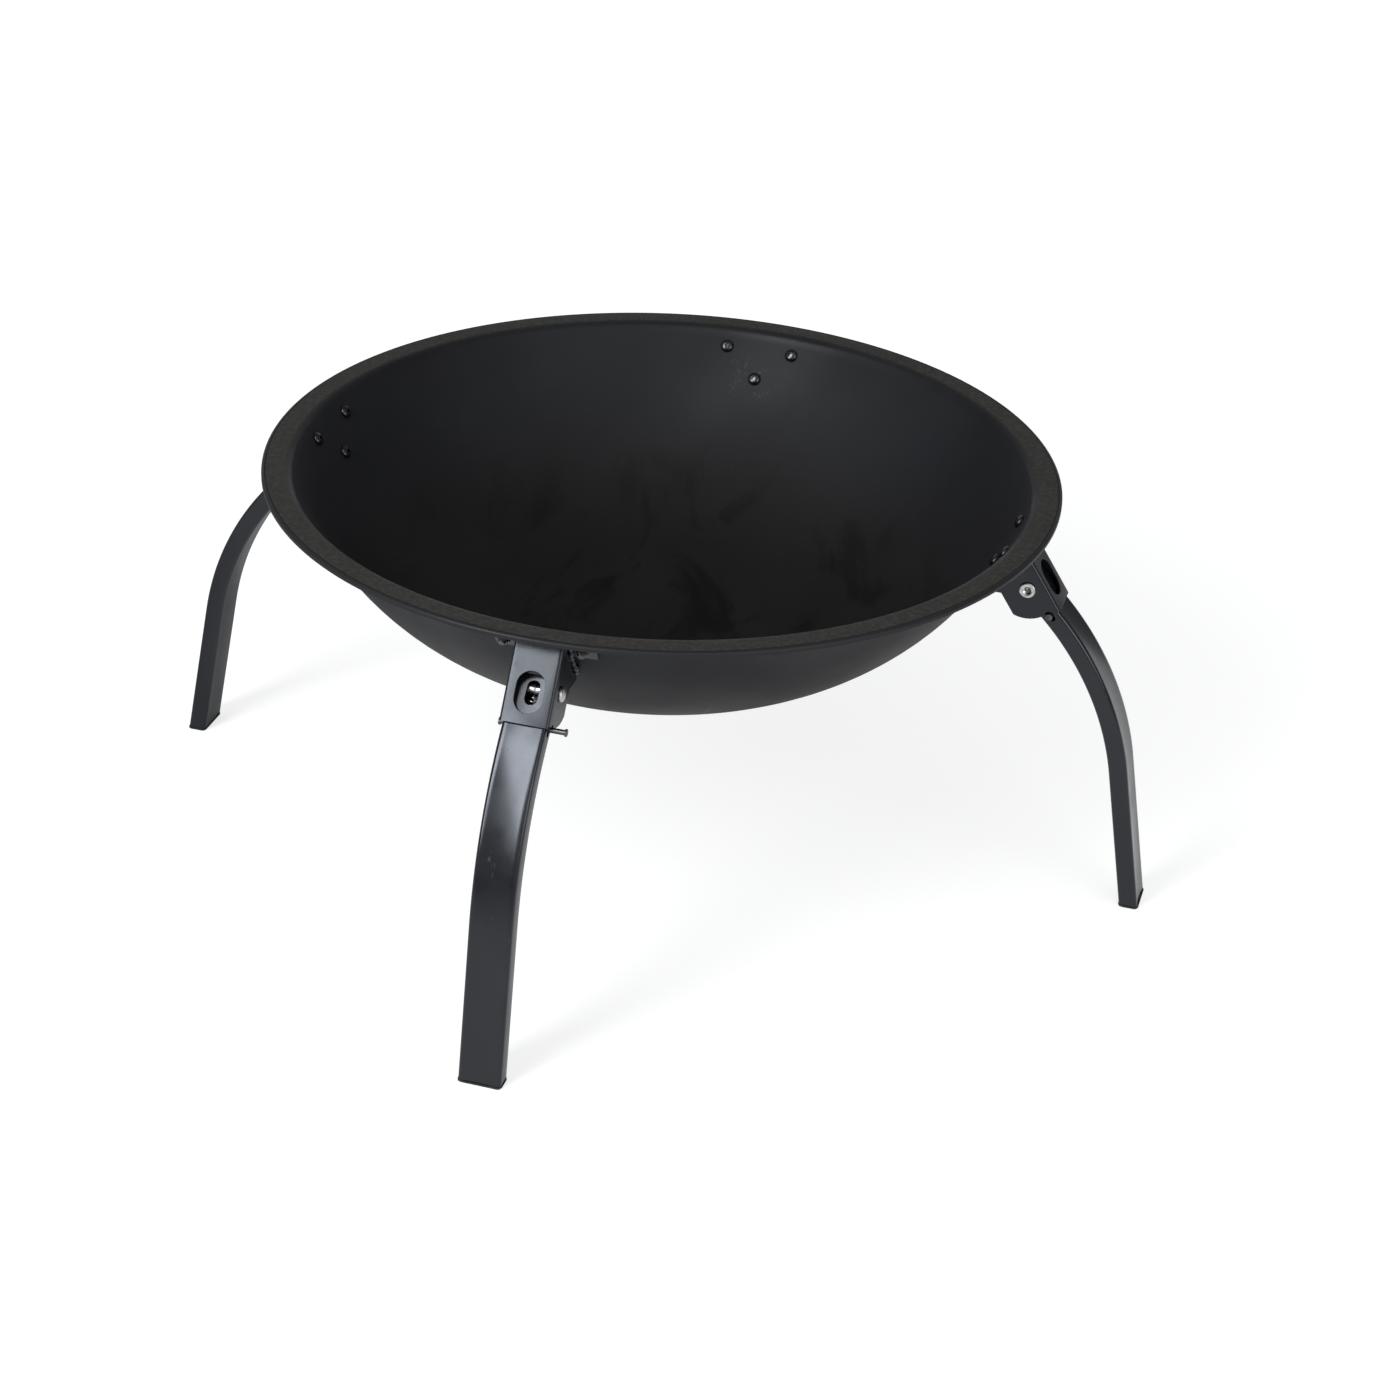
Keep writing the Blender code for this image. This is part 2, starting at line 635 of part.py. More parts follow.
def spring_mesh():
    """Extension spring as round wire along its route."""
    route = spring_route()
    curve = bpy.data.curves.new("lock_spring", "CURVE")
    curve.dimensions = "3D"
    curve.bevel_depth = SPRING_WIRE / 2.0
    curve.bevel_resolution = 0
    curve.use_fill_caps = True
    spline = curve.splines.new("POLY")
    spline.points.add(len(route) - 1)
    for place, point in zip(spline.points, route):
        place.co = (*point, 1.0)
    wire = bpy.data.objects.new("wire", curve)
    bpy.context.scene.collection.objects.link(wire)
    bpy.context.view_layer.update()
    shaped = wire.evaluated_get(bpy.context.evaluated_depsgraph_get())
    mesh = bpy.data.meshes.new_from_object(shaped)
    bpy.data.objects.remove(wire, do_unlink=True)
    smooth(mesh, 60.0)
    return mesh


def screw_mesh(length):
    """Button head screw along Z, head at +Z, seated on Z = 0, with a hex socket."""
    head = SCREW_HEAD / 2.0
    shank = SCREW_SHANK / 2.0
    dome = [(0.93, 0.55), (0.72, 0.88), (0.48, 1.0)]
    profile = [(0.0, -length), (shank - SCREW_CHAMFER, -length),
               (shank, SCREW_CHAMFER - length), (shank, 0.0), (head, 0.0),
               (head, 0.15 * SCREW_HEAD_HEIGHT)]
    profile += [(head * r, SCREW_HEAD_HEIGHT * z) for r, z in dome]
    profile.append((0.0, SCREW_HEAD_HEIGHT))
    body = lathe("bowl_screw", profile, 12)
    radius = SCREW_SOCKET / 2.0 / math.cos(math.pi / 6.0)
    low = SCREW_HEAD_HEIGHT - SCREW_SOCKET_DEPTH
    key = [(0.0, low), (radius, low), (radius, 2.0 * SCREW_HEAD_HEIGHT),
           (0.0, 2.0 * SCREW_HEAD_HEIGHT)]
    mesh = carve(body, [lathe("key", key, 6)])
    smooth(mesh)
    return mesh


def nut_mesh():
    """Hexagon lock nut along Z, from Z = 0 down, with a round crown at its far end."""
    outer = NUT_WIDTH / 2.0 / math.cos(math.pi / 6.0)
    bore = SCREW_SHANK / 2.0 + GAP
    crown = NUT_CROWN / 2.0
    shoulder = NUT_CROWN_HEIGHT - NUT_HEIGHT
    body = lathe("bowl_nut", [(0.0, shoulder), (outer, shoulder), (outer, 0.0), (0.0, 0.0)], 6)
    turned = [(0.0, -NUT_HEIGHT), (crown, -NUT_HEIGHT), (crown, shoulder / 2.0),
              (0.0, shoulder / 2.0)]
    drill = [(0.0, -2.0 * NUT_HEIGHT), (bore, -2.0 * NUT_HEIGHT), (bore, NUT_HEIGHT),
             (0.0, NUT_HEIGHT)]
    mesh = carve(body, [lathe("drill", drill, 12)], lathe("crown", turned, 12))
    smooth(mesh)
    return mesh


def place(name, mesh, material, parent, matrix=None):
    """Object of its own for a mesh, with its material, under a parent empty."""
    thing = bpy.data.objects.new(name, mesh)
    bpy.context.scene.collection.objects.link(thing)
    if not mesh.materials:
        mesh.materials.append(material)
    thing.parent = parent
    thing.matrix_local = matrix if matrix is not None else Matrix()
    return thing


def make_empty(name, matrix, parent=None):
    """Empty that carries a group of pieces."""
    thing = bpy.data.objects.new(name, None)
    thing.empty_display_size = TUBE_WIDTH
    bpy.context.scene.collection.objects.link(thing)
    thing.parent = parent
    thing.matrix_local = matrix
    return thing


def main():
    """Build the whole object."""
    clear_scene()
    bowl_paint = make_material("bowl_paint", (0.020, 0.020, 0.020), 0.55, 0.0)
    bracket_paint = make_material("bracket_paint", (0.022, 0.023, 0.025), 0.38, 0.0)
    leg_paint = make_material("leg_paint", (0.022, 0.023, 0.025), 0.40, 0.0)
    foot_plastic = make_material("foot_plastic", (0.014, 0.014, 0.014), 0.60, 0.0)
    rivet_zinc = make_material("rivet_zinc", (0.62, 0.62, 0.60), 0.28, 1.0)
    pin_steel = make_material("pin_steel", (0.42, 0.42, 0.41), 0.35, 1.0)
    spring_steel = make_material("spring_steel", (0.50, 0.50, 0.49), 0.30, 1.0)
    screw_black = make_material("screw_black", (0.018, 0.018, 0.019), 0.42, 0.6)

    plate = plate_mesh()
    bracket = bracket_mesh()
    tube = tube_mesh()
    cap = cap_mesh()
    rivet = rivet_mesh()
    pin = pin_mesh()
    spring = spring_mesh()
    upper_screw = screw_mesh(UPPER_SCREW_LENGTH)
    lower_screw = screw_mesh(LOWER_SCREW_LENGTH)
    nut = nut_mesh()

    stand = make_empty("bowl_axis", Matrix())
    place("bowl", bowl_mesh(), bowl_paint, stand)
    for leg, degrees in LEG_AZIMUTHS.items():
        group = make_empty(leg + "_group", Matrix.Rotation(math.radians(degrees), 4, "Z"), stand)
        pivot = make_empty(leg + "_pivot", Matrix.Translation(PIVOT), group)
        pin_axis = Matrix.Translation(tube_point(PIN_REACH, 0.0))
        place(leg + "_mount_plate", plate, bracket_paint, group)
        place(leg + "_leg_bracket", bracket, bracket_paint, group, Matrix.Translation(PIVOT))
        place(leg + "_pivot_rivet", rivet, rivet_zinc, group, Matrix.Translation(PIVOT))
        place(leg + "_leg_tube", tube, leg_paint, pivot)
        place(leg + "_foot_cap", cap, foot_plastic, pivot)
        place(leg + "_lock_spring", spring, spring_steel, pivot)
        place(leg + "_lock_pin", pin, pin_steel, pivot, pin_axis)
        for spot, (height, side) in screw_places().items():
            screw = lower_screw if side == 0.0 else upper_screw
            place(leg + "_bowl_screw_" + spot, screw, screw_black, group,
                  wall_frame(height, side, -GAP))
            place(leg + "_bowl_nut_" + spot, nut, screw_black, group,
                  wall_frame(height, side, SHEET + PLATE_SHEET + 2.0 * GAP))
    bpy.context.view_layer.update()


main()
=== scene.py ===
import math

import bmesh
import bpy
from mathutils import Matrix, Quaternion, Vector

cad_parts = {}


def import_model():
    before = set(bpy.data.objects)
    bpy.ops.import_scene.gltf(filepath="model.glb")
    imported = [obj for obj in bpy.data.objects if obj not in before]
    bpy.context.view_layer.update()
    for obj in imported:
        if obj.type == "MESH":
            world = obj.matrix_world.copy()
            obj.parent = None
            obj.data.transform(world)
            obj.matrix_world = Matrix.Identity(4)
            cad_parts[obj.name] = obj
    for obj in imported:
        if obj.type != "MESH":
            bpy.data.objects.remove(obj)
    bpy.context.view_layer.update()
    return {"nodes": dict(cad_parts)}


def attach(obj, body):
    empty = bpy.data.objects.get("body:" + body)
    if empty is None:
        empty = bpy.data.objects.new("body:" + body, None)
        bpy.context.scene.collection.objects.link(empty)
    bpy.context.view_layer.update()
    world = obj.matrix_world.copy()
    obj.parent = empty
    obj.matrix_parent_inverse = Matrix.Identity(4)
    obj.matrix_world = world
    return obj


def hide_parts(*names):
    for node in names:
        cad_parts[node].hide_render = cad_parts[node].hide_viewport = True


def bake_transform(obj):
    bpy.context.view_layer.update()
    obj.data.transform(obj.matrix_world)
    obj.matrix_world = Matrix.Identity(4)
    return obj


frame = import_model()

MM = 0.001

# Sizes of the real parts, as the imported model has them
GAP = 0.3 * MM
RIM_RADIUS = 270.0 * MM
RIM_HEIGHT = 272.0 * MM
SHEET = 1.2 * MM
LIP_HEIGHT = 3.4 * MM
LIP_BEND = 1.8 * MM
FLANGE_WIDTH = 18.8 * MM
FLANGE_BEND = 7.0 * MM
WALL_LEAN = math.radians(30.6)
BOWL_DEPTH = 138.6 * MM
STRAIGHT_WALL = 34.8 * MM
DISH_RADIUS = 424.0 * MM
CAD_HALF_FACET = math.radians(3.0)
LEG_AZIMUTHS = {"right": 0.0, "back": 90.0, "left": 180.0, "front": 270.0}
PIVOT = Vector((258.0, 0.0, 231.0)) * MM
TUBE_WIDTH = 28.4 * MM
TUBE_DEPTH = 12.7 * MM
TUBE_WALL = 1.2 * MM
TUBE_CORNER = 2.2 * MM
TUBE_TOP = 8.0 * MM
LEG_LEAN_TOP = math.radians(44.0)
LEG_LEAN_FOOT = math.radians(10.0)
LEG_BEND_START = 26.0 * MM
LEG_BEND_RADIUS = 210.0 * MM
SPRING_WINDOW_LENGTH = 16.0 * MM
SPRING_WINDOW_WIDTH = 8.4 * MM
SPRING_WINDOW_CENTRE = 3.8 * MM
CAP_THICKNESS = 1.5 * MM
BRACKET_SHEET = 1.5 * MM
BRACKET_BEND = 2.0 * MM
CHEEK_INNER = TUBE_WIDTH / 2.0 + GAP
CHEEK_OUTER = CHEEK_INNER + BRACKET_SHEET
CHEEK_DEPTH = 30.0 * MM
SHOULDER = -5.5 * MM
WEB_LEAN = math.radians(33.5)
WEB_BELOW_PIVOT = 23.1 * MM
WINDOW_LENGTH = 26.2 * MM
WINDOW_WIDTH = 18.5 * MM
WINDOW_MARGIN = 7.0 * MM
PLATE_SHEET = 1.5 * MM
PLATE_FACE = SHEET + GAP + PLATE_SHEET
RIVET_SHANK = 6.0 * MM
RIVET_HEAD = 10.0 * MM
RIVET_HEAD_HEIGHT = 2.6 * MM
RIVET_FLARE = 11.0 * MM
RIVET_FLARE_HEIGHT = 1.3 * MM
RIVET_BORE = 3.6 * MM
RIVET_BORE_DEPTH = 5.0 * MM
PIN_DIAMETER = 3.5 * MM
PIN_HEAD = 5.0 * MM
PIN_HEAD_HEIGHT = 1.2 * MM
PIN_HOLE = PIN_DIAMETER + 2.0 * GAP
PIN_REACH = 23.3 * MM
PIN_GRIP_LENGTH = 10.0 * MM
PIN_TAIL_LENGTH = 2.0 * MM
PIN_TRAVEL_IN = 1.2 * MM
PIN_TRAVEL_OUT = 3.0 * MM
SPRING_WIRE = 0.9 * MM
SPRING_COIL = 6.4 * MM
SPRING_TURNS = 5
SPRING_LEAD = 2.2 * MM
TOP_HOOK = RIVET_SHANK / 2.0 + GAP + SPRING_WIRE / 2.0
LOW_HOOK = PIN_DIAMETER / 2.0 + GAP + SPRING_WIRE / 2.0
SPRING_FIRST = TOP_HOOK + SPRING_LEAD
SPRING_LAST = PIN_REACH - LOW_HOOK - SPRING_LEAD
SCREW_SHANK = 5.0 * MM
SCREW_HEAD = 9.5 * MM
SCREW_HEAD_HEIGHT = 2.7 * MM
SCREW_SOCKET = 3.0 * MM
SCREW_CHAMFER = 0.5 * MM
UPPER_SCREW_LENGTH = 10.0 * MM
LOWER_SCREW_LENGTH = 12.0 * MM
UPPER_SCREW_HEIGHT = 259.4 * MM
LOWER_SCREW_HEIGHT = 240.5 * MM
UPPER_SCREW_OFFSET = 24.9 * MM
NUT_WIDTH = 8.0 * MM
NUT_HEIGHT = 5.0 * MM
NUT_CROWN = 7.2 * MM
NUT_CROWN_HEIGHT = 1.4 * MM

# Each leg's bowl screws: height, offset to the side and length
SCREW_PLACES = {"upper_a": (UPPER_SCREW_HEIGHT, UPPER_SCREW_OFFSET, UPPER_SCREW_LENGTH),
                "upper_b": (UPPER_SCREW_HEIGHT, -UPPER_SCREW_OFFSET, UPPER_SCREW_LENGTH),
                "lower": (LOWER_SCREW_HEIGHT, 0.0, LOWER_SCREW_LENGTH)}

# Sizes of what only this scene has
FACE_DIP = 0.45 * MM
BEAD_TOP = 263.0 * MM
BEAD_LENGTH = 32.0 * MM
BEAD_OFF_CHEEK = 1.0 * MM
BEAD_OFF_PLATE = 0.7 * MM
BEAD_THIN = 1.05 * MM
BEAD_SWELL = 1.0 * MM
BEAD_LOBES = 7
BEAD_STEPS = 120
BEAD_SIDES = 12
BEAD_END_SHARE = 0.3
THREAD_PITCH = 0.8 * MM
THREAD_DEPTH = 0.4 * MM
PLAIN_NECK = 4.0 * MM
SOCKET_DEPTH = 2.0 * MM
DRILL_REACH = 10.0 * MM

# Waves along a weld bead, in its place and in its girth: height, pace and start
BEAD_SWAY = (0.45 * MM, 9.1, 0.0)
BEAD_SHAKE = (0.20 * MM, 23.0, 1.0)
BEAD_UNEVEN = (0.35 * MM, 17.0, 0.6)

# Colours of the enamel on brackets and legs, from the darkest clouds to the palest
ENAMEL = ((0.0075, 0.0079, 0.0092), (0.0105, 0.0110, 0.0128))
# The weld bead's enamel is painted darker, as painted shade for the corner it lies in
WELD_PAINTED_SHADE = ((0.0040, 0.0042, 0.0050), (0.0090, 0.0095, 0.0110))

# Directions seen from the photograph's viewpoint: across it, behind the object, before it,
# and from the floor's left rear corner to the right front one
ACROSS = (0.959, 0.282, 0.0)
BEHIND = (-0.282, 0.959, 0.0)
BEFORE = (0.358, -0.768, 0.530)
FROM_CORNER = tuple(0.6 * a - 0.8 * b for a, b in zip(ACROSS, BEHIND))

# The floor's size and the distances between which it brightens, in metres, and its levels
FLOOR_RADIUS = 7.0
NEAR_END = 0.3
FAR_START = 2.4
FLOOR_GREY = 0.42
NEAR_LIFT = 0.71
FAR_LIFT = 0.88

# The room's levels: its fill for matt surfaces, the dark part and the paler front of it
FILL_LEVEL = 0.56
ROOM_LEVEL = 0.15
FRONT_LEVEL = 0.75
FILL_TINT = (0.97, 0.985, 1.0, 1.0)

# The floor's soft edges in reflections: where the dark end and the white end lie, in metres,
# and the share of light at each
SIDE_EDGES = (1.7, 1.3, 0.0, 0.68)
FRONT_EDGE = (-1.1, -0.45, 0.0, 1.0)
LEFT_EDGE = (-0.50, -0.25, 0.50, 1.0)
CORNER_EDGE = (-0.36, -0.14, 0.0, 1.0)

# The room's soft edges: how wide the cove is, as a cosine, how high it ends, as a sine, and
# how wide the paler front is, as a cosine
COVE_WIDTH = (0.80, 0.93)
COVE_TOP = (0.42, 0.10)
FRONT_WIDTH = (0.66, 0.97)

# Point that the softboxes aim at, by the front leg
FRONT_LEG = (0.0, -0.28, 0.18)

# The photograph's camera, fitted to the rim, the screws and the legs: angles in radians, its
# place in rim radii, lens and sensor in millimetres
VIEW_TURN = 0.2855
VIEW_YAW = 0.0173
VIEW_PITCH = 0.5113
VIEW_ROLL = 0.046
VIEW_PLACE = Vector((0.0, -6.8818, 4.1918)) * RIM_RADIUS
VIEW_LENS = 77.5
VIEW_SENSOR = 36.0


def turned(degrees):
    """Turn about the bowl's axis to one leg's place."""
    return Matrix.Rotation(math.radians(degrees), 4, "Z")


def mesh_from(name, vertices, faces):
    """Mesh with every face pointing out."""
    bm = bmesh.new()
    corners = [bm.verts.new(v) for v in vertices]
    for face in faces:
        bm.faces.new([corners[i] for i in face])
    bmesh.ops.recalc_face_normals(bm, faces=bm.faces)
    mesh = bpy.data.meshes.new(name)
    bm.to_mesh(mesh)
    bm.free()
    return mesh


def loft(name, rings):
    """Skin through equal rings of points, capped at both ends."""
    count = len(rings[0])
    vertices = [point for ring in rings for point in ring]
    last = len(vertices) - count
    faces = [tuple(range(count)), tuple(range(last, len(vertices)))]
    for a in range(0, last, count):
        for j in range(count):
            k = (j + 1) % count
            faces.append((a + j, a + k, a + count + k, a + count + j))
    return mesh_from(name, vertices, faces)


def lathe(name, profile, segments):
    """Turn an (r, z) profile round Z; a point with r = 0 becomes a pole."""
    vertices = []
    rings = []
    for r, z in profile:
        first = len(vertices)
        if r == 0.0:
            vertices.append((0.0, 0.0, z))
            rings.append([first] * segments)
            continue
        for i in range(segments):
            a = 2.0 * math.pi * i / segments
            vertices.append((r * math.cos(a), r * math.sin(a), z))
        rings.append(list(range(first, first + segments)))
    faces = []
    for low, high in zip(rings, rings[1:]):
        for i in range(segments):
            k = (i + 1) % segments
            corners = [low[i], low[k], high[k], high[i]]
            faces.append(tuple(dict.fromkeys(corners)))
    return mesh_from(name, vertices, faces)


def bar(name, radius, low, high, segments):
    """Solid bar along Z: round with many segments, a hexagon with six."""
    return lathe(name, [(0.0, low), (radius, low), (radius, high), (0.0, high)], segments)


def prism(name, outline, sweep):
    """Solid between a flat outline and the same outline moved by sweep."""
    points = [Vector(p) for p in outline]
    return loft(name, [points, [p + sweep for p in points]])


def arc(centre, radius, start, end, steps):
    """Points (x, z) on an arc, both ends included."""
    angles = [start + (end - start) * i / steps for i in range(steps + 1)]
    return [(centre[0] + radius * math.cos(a), centre[1] + radius * math.sin(a)) for a in angles]


def obround(length, width, steps=14):
    """Slot outline (along, across), centred, with round ends."""
    reach = (length - width) / 2.0
    points = []
    for centre, start in ((reach, -90.0), (-reach, 90.0)):
        for i in range(steps + 1):
            a = math.radians(start + 180.0 * i / steps)
            points.append((centre + width / 2.0 * math.cos(a), width / 2.0 * math.sin(a)))
    return points


def carve(body, cutters, added=None, within=None):
    """Mesh of body kept within a mesh, with another joined and every cutter taken away."""
    scene = bpy.context.scene.collection
    blank = bpy.data.objects.new("blank", body)
    scene.objects.link(blank)
    tools = []
    steps = [("INTERSECT", within), ("UNION", added)] + [("DIFFERENCE", mesh) for mesh in cutters]
    for operation, mesh in steps:
        if mesh is None:
            continue
        tool = bpy.data.objects.new("cutter", mesh)
        scene.objects.link(tool)
        cut = blank.modifiers.new("cut", "BOOLEAN")
        cut.operation = operation
        cut.solver = "EXACT"
        cut.object = tool
        tools.append(tool)
    bpy.context.view_layer.update()
    shaped = blank.evaluated_get(bpy.context.evaluated_depsgraph_get())
    result = bpy.data.meshes.new_from_object(shaped)
    for thing in [blank, *tools]:
        bpy.data.objects.remove(thing, do_unlink=True)
    return result


def smooth(mesh, angle=32.0):
    """Shade smooth, with sharper edges kept crisp."""
    mesh.shade_smooth()
    mesh.set_sharp_from_angle(angle=math.radians(angle))
    return mesh


def add_node(tree, kind, inputs=None, **settings):
    """Add a shader node; an input may be a number, a colour or another socket."""
    made = tree.nodes.new("ShaderNode" + kind)
    for key, value in settings.items():
        setattr(made, key, value)
    for key, value in (inputs or {}).items():
        if isinstance(value, bpy.types.NodeSocket):
            tree.links.new(value, made.inputs[key])
        else:
            made.inputs[key].default_value = value
    return made


def soft_span(tree, value, low, high, start=0.0, end=1.0):
    """Map low..high to start..end, with soft ends."""
    inputs = {"Value": value, "From Min": low, "From Max": high, "To Min": start, "To Max": end}
    return add_node(tree, "MapRange", inputs, interpolation_type="SMOOTHSTEP").outputs[0]


def combine(tree, operation, a, b):
    """Two numbers or sockets joined by one operation."""
    return add_node(tree, "Math", {0: a, 1: b}, operation=operation).outputs[0]


def along(tree, place, way):
    """How far a place or a direction goes along a way."""
    return add_node(tree, "VectorMath", {0: place, 1: way}, operation="DOT_PRODUCT").outputs["Value"]


def pick(tree, factor, off, on):
    """Number off where factor is 0, number on where it is 1."""
    return add_node(tree, "Mix", {0: factor, 2: off, 3: on}).outputs[0]


class Finish:
    """One node material, built up from procedural layers."""

    def __init__(self, name, roughness, metallic=0.0, level=0.5, tint=None):
        self.material = bpy.data.materials.new(name)
        self.material.use_nodes = True
        self.tree = self.material.node_tree
        self.shader = self.tree.nodes["Principled BSDF"]
        self.shader.inputs["Roughness"].default_value = roughness
        self.shader.inputs["Metallic"].default_value = metallic
        self.shader.inputs["Specular IOR Level"].default_value = level
        if tint:
            self.shader.inputs["Specular Tint"].default_value = (*tint, 1.0)
        self.place = self.node("TexCoord").outputs["Object"]

    def node(self, kind, inputs=None, **settings):
        """Add a node to this material."""
        return add_node(self.tree, kind, inputs, **settings)

    def noise(self, scale, detail=3.0, stretch=(1.0, 1.0, 1.0), rough=0.5, warp=0.0):
        """Fractal noise in object space, with scale features to the metre."""
        placed = self.node("Mapping", {"Vector": self.place, "Scale": stretch}).outputs[0]
        return self.node("TexNoise", {"Vector": placed, "Scale": scale, "Detail": detail,
                                      "Roughness": rough, "Distortion": warp}).outputs[0]

    def span(self, value, low, high, start=0.0, end=1.0):
        """Map low..high to start..end, with soft ends."""
        return soft_span(self.tree, value, low, high, start, end)

    def math(self, operation, a, b):
        """Two numbers or sockets joined by one operation."""
        return combine(self.tree, operation, a, b)

    def blend(self, factor, a, b):
        """Colour a where factor is 0, colour b where it is 1."""
        a = (*a, 1.0) if isinstance(a, tuple) else a
        b = (*b, 1.0) if isinstance(b, tuple) else b
        return self.node("Mix", {0: factor, 6: a, 7: b}, data_type="RGBA").outputs[2]

    def near(self, point, inner, outer):
        """1 within inner of a point, 0 beyond outer."""
        away = self.node("VectorMath", {0: self.place, 1: point}, operation="DISTANCE")
        return self.span(away.outputs["Value"], inner, outer, 1.0, 0.0)

    def colour(self, socket):
        """Set the base colour."""
        self.tree.links.new(socket, self.shader.inputs["Base Color"])

    def roughness(self, socket):
        """Set the roughness."""
        self.tree.links.new(socket, self.shader.inputs["Roughness"])

    def bump(self, *layers):
        """Stack bump layers of (height socket, depth in metres)."""
        normal = None
        for height, depth in layers:
            inputs = {"Height": height, "Distance": depth, "Strength": 1.0}
            if normal:
                inputs["Normal"] = normal
            normal = self.node("Bump", inputs).outputs[0]
        self.tree.links.new(normal, self.shader.inputs["Normal"])


def bowl_finish():
    """Matt heat-resistant black on the dish: clouding, a painted sheen up the wall, smudges, specks,
    a flange painted paler with dust and painted light, painted shade in the lip's crease.
    """
    f = Finish("bowl_black", 0.6, level=0.24)
    height = f.node("SeparateXYZ", {0: f.place}).outputs["Z"]
    flat = f.node("VectorMath", {0: f.place, 1: (1.0, 1.0, 0.0)}, operation="MULTIPLY")
    radius = f.node("VectorMath", {0: flat.outputs[0]}, operation="LENGTH").outputs["Value"]

    def below(start, end):
        """Soft step from 0 to 1 between two depths below the rim, in millimetres."""
        return f.span(height, RIM_HEIGHT - start * MM, RIM_HEIGHT - end * MM)

    def inside(start, end):
        """Soft step from 0 to 1 between two distances in from the rim, in millimetres."""
        return f.span(radius, RIM_RADIUS - start * MM, RIM_RADIUS - end * MM)

    # Painted sheen: the wall is painted cooler and a little paler higher up than at the bottom,
    # standing in for the bluish reflection there
    cloud = f.span(f.noise(7.0, 4.0), 0.35, 0.68)
    deep = f.blend(cloud, (0.0086, 0.0077, 0.0077), (0.0118, 0.0108, 0.0108))
    upper_painted_sheen = f.blend(cloud, (0.0092, 0.0094, 0.0112), (0.0130, 0.0135, 0.0162))
    paint = f.blend(below(127.0, 37.0), deep, upper_painted_sheen)

    # Soft smudges that run down the bottom of the dish
    smear = f.noise(16.0, 5.0, stretch=(1.0, 0.35, 1.0), rough=0.55, warp=1.6)
    smear = f.math("MULTIPLY", f.span(smear, 0.49, 0.62), below(62.0, 122.0))
    paint = f.blend(smear, paint, (0.0034, 0.0028, 0.0028))

    # Pale dust: a few specks everywhere, most of them near the back screws
    grit = f.noise(520.0, 2.0, rough=0.7)
    patch = f.span(f.noise(24.0, 3.0), 0.55, 0.75)
    specks = f.math("MULTIPLY", f.span(grit, 0.70, 0.76), patch)
    back_screws = Vector((-2.0, 236.0, 243.0)) * MM
    scuff = f.math("MULTIPLY", f.near(back_screws, 4.0 * MM, 30.0 * MM),
                   f.span(f.noise(95.0, 4.0, warp=1.0), 0.50, 0.66))
    specks = f.math("MAXIMUM", specks, f.math("MULTIPLY", scuff, f.span(grit, 0.45, 0.70)))
    paint = f.blend(f.math("MULTIPLY", specks, 0.55), paint, (0.085, 0.085, 0.088))

    # The flange catches dust and wear, and is painted paler also as painted light for the extra
    # light its flat top catches
    flange = f.math("MULTIPLY", below(6.0, 0.8), inside(19.5, 14.0))
    fleck = f.span(f.noise(330.0, 3.0, rough=0.65), 0.38, 0.66)
    dust_and_painted_light = f.blend(fleck, (0.0240, 0.0226, 0.0200), (0.0370, 0.0350, 0.0312))
    paint = f.blend(flange, paint, dust_and_painted_light)

    # Past the crease the rolled lip is cleaner and closer to satin, as the inner bend is; the crease
    # itself gets a thin line of painted shade
    lip = inside(2.6, 2.0)
    crease_painted_shade = f.math("MULTIPLY", inside(3.2, 2.8), inside(2.0, 2.4))
    crease_painted_shade = f.math("MULTIPLY", crease_painted_shade, below(2.0, 0.8))
    paint = f.blend(lip, paint, (0.0170, 0.0172, 0.0190))
    paint = f.blend(crease_painted_shade, paint, (0.0030, 0.0030, 0.0030))
    f.colour(paint)
    bend = f.math("MULTIPLY", below(8.0, 4.0), inside(13.0, 16.5))
    rolled = f.math("MAXIMUM", lip, f.math("MULTIPLY", bend, 0.45))

    sheen = f.span(f.noise(11.0, 4.0), 0.3, 0.7, 0.54, 0.66)
    sheen = f.math("ADD", sheen, f.math("MULTIPLY", flange, 0.10))
    sheen = f.math("ADD", sheen, f.math("MULTIPLY", smear, 0.10))
    f.roughness(f.math("SUBTRACT", sheen, f.math("MULTIPLY", rolled, 0.24)))
    f.bump((f.noise(60.0, 2.0), 0.10 * MM), (f.noise(620.0, 3.0, rough=0.6), 0.05 * MM))
    return f.material


def satin_finish(name, dark, pale, roughness, seed):
    """Satin black enamel on pressed and bent steel: orange peel, rubbed patches, hairlines."""
    f = Finish(name, roughness, level=0.52, tint=(0.86, 0.91, 1.0))
    shift = f.node("VectorMath", {0: f.place, 1: (seed, 2.0 * seed, 0.0)}, operation="ADD")
    f.place = shift.outputs[0]
    cloud = f.span(f.noise(22.0, 4.0), 0.35, 0.68)
    paint = f.blend(cloud, dark, pale)
    hair = f.span(f.noise(260.0, 2.0, stretch=(1.0, 1.0, 0.03), warp=0.3), 0.66, 0.72)
    hair = f.math("MULTIPLY", hair, f.span(f.noise(34.0, 2.0), 0.52, 0.70))
    paint = f.blend(f.math("MULTIPLY", hair, 0.35), paint, (0.060, 0.062, 0.066))
    grit = f.span(f.noise(760.0, 2.0, rough=0.7), 0.71, 0.76)
    paint = f.blend(f.math("MULTIPLY", grit, 0.5), paint, (0.055, 0.056, 0.060))
    f.colour(paint)
    rub = f.span(f.noise(38.0, 5.0), 0.35, 0.7, roughness - 0.03, roughness + 0.05)
    f.roughness(f.math("ADD", rub, f.math("MULTIPLY", hair, 0.12)))
    f.bump((f.noise(48.0, 1.0), 0.05 * MM), (f.noise(540.0, 2.0), 0.012 * MM))
    return f.material


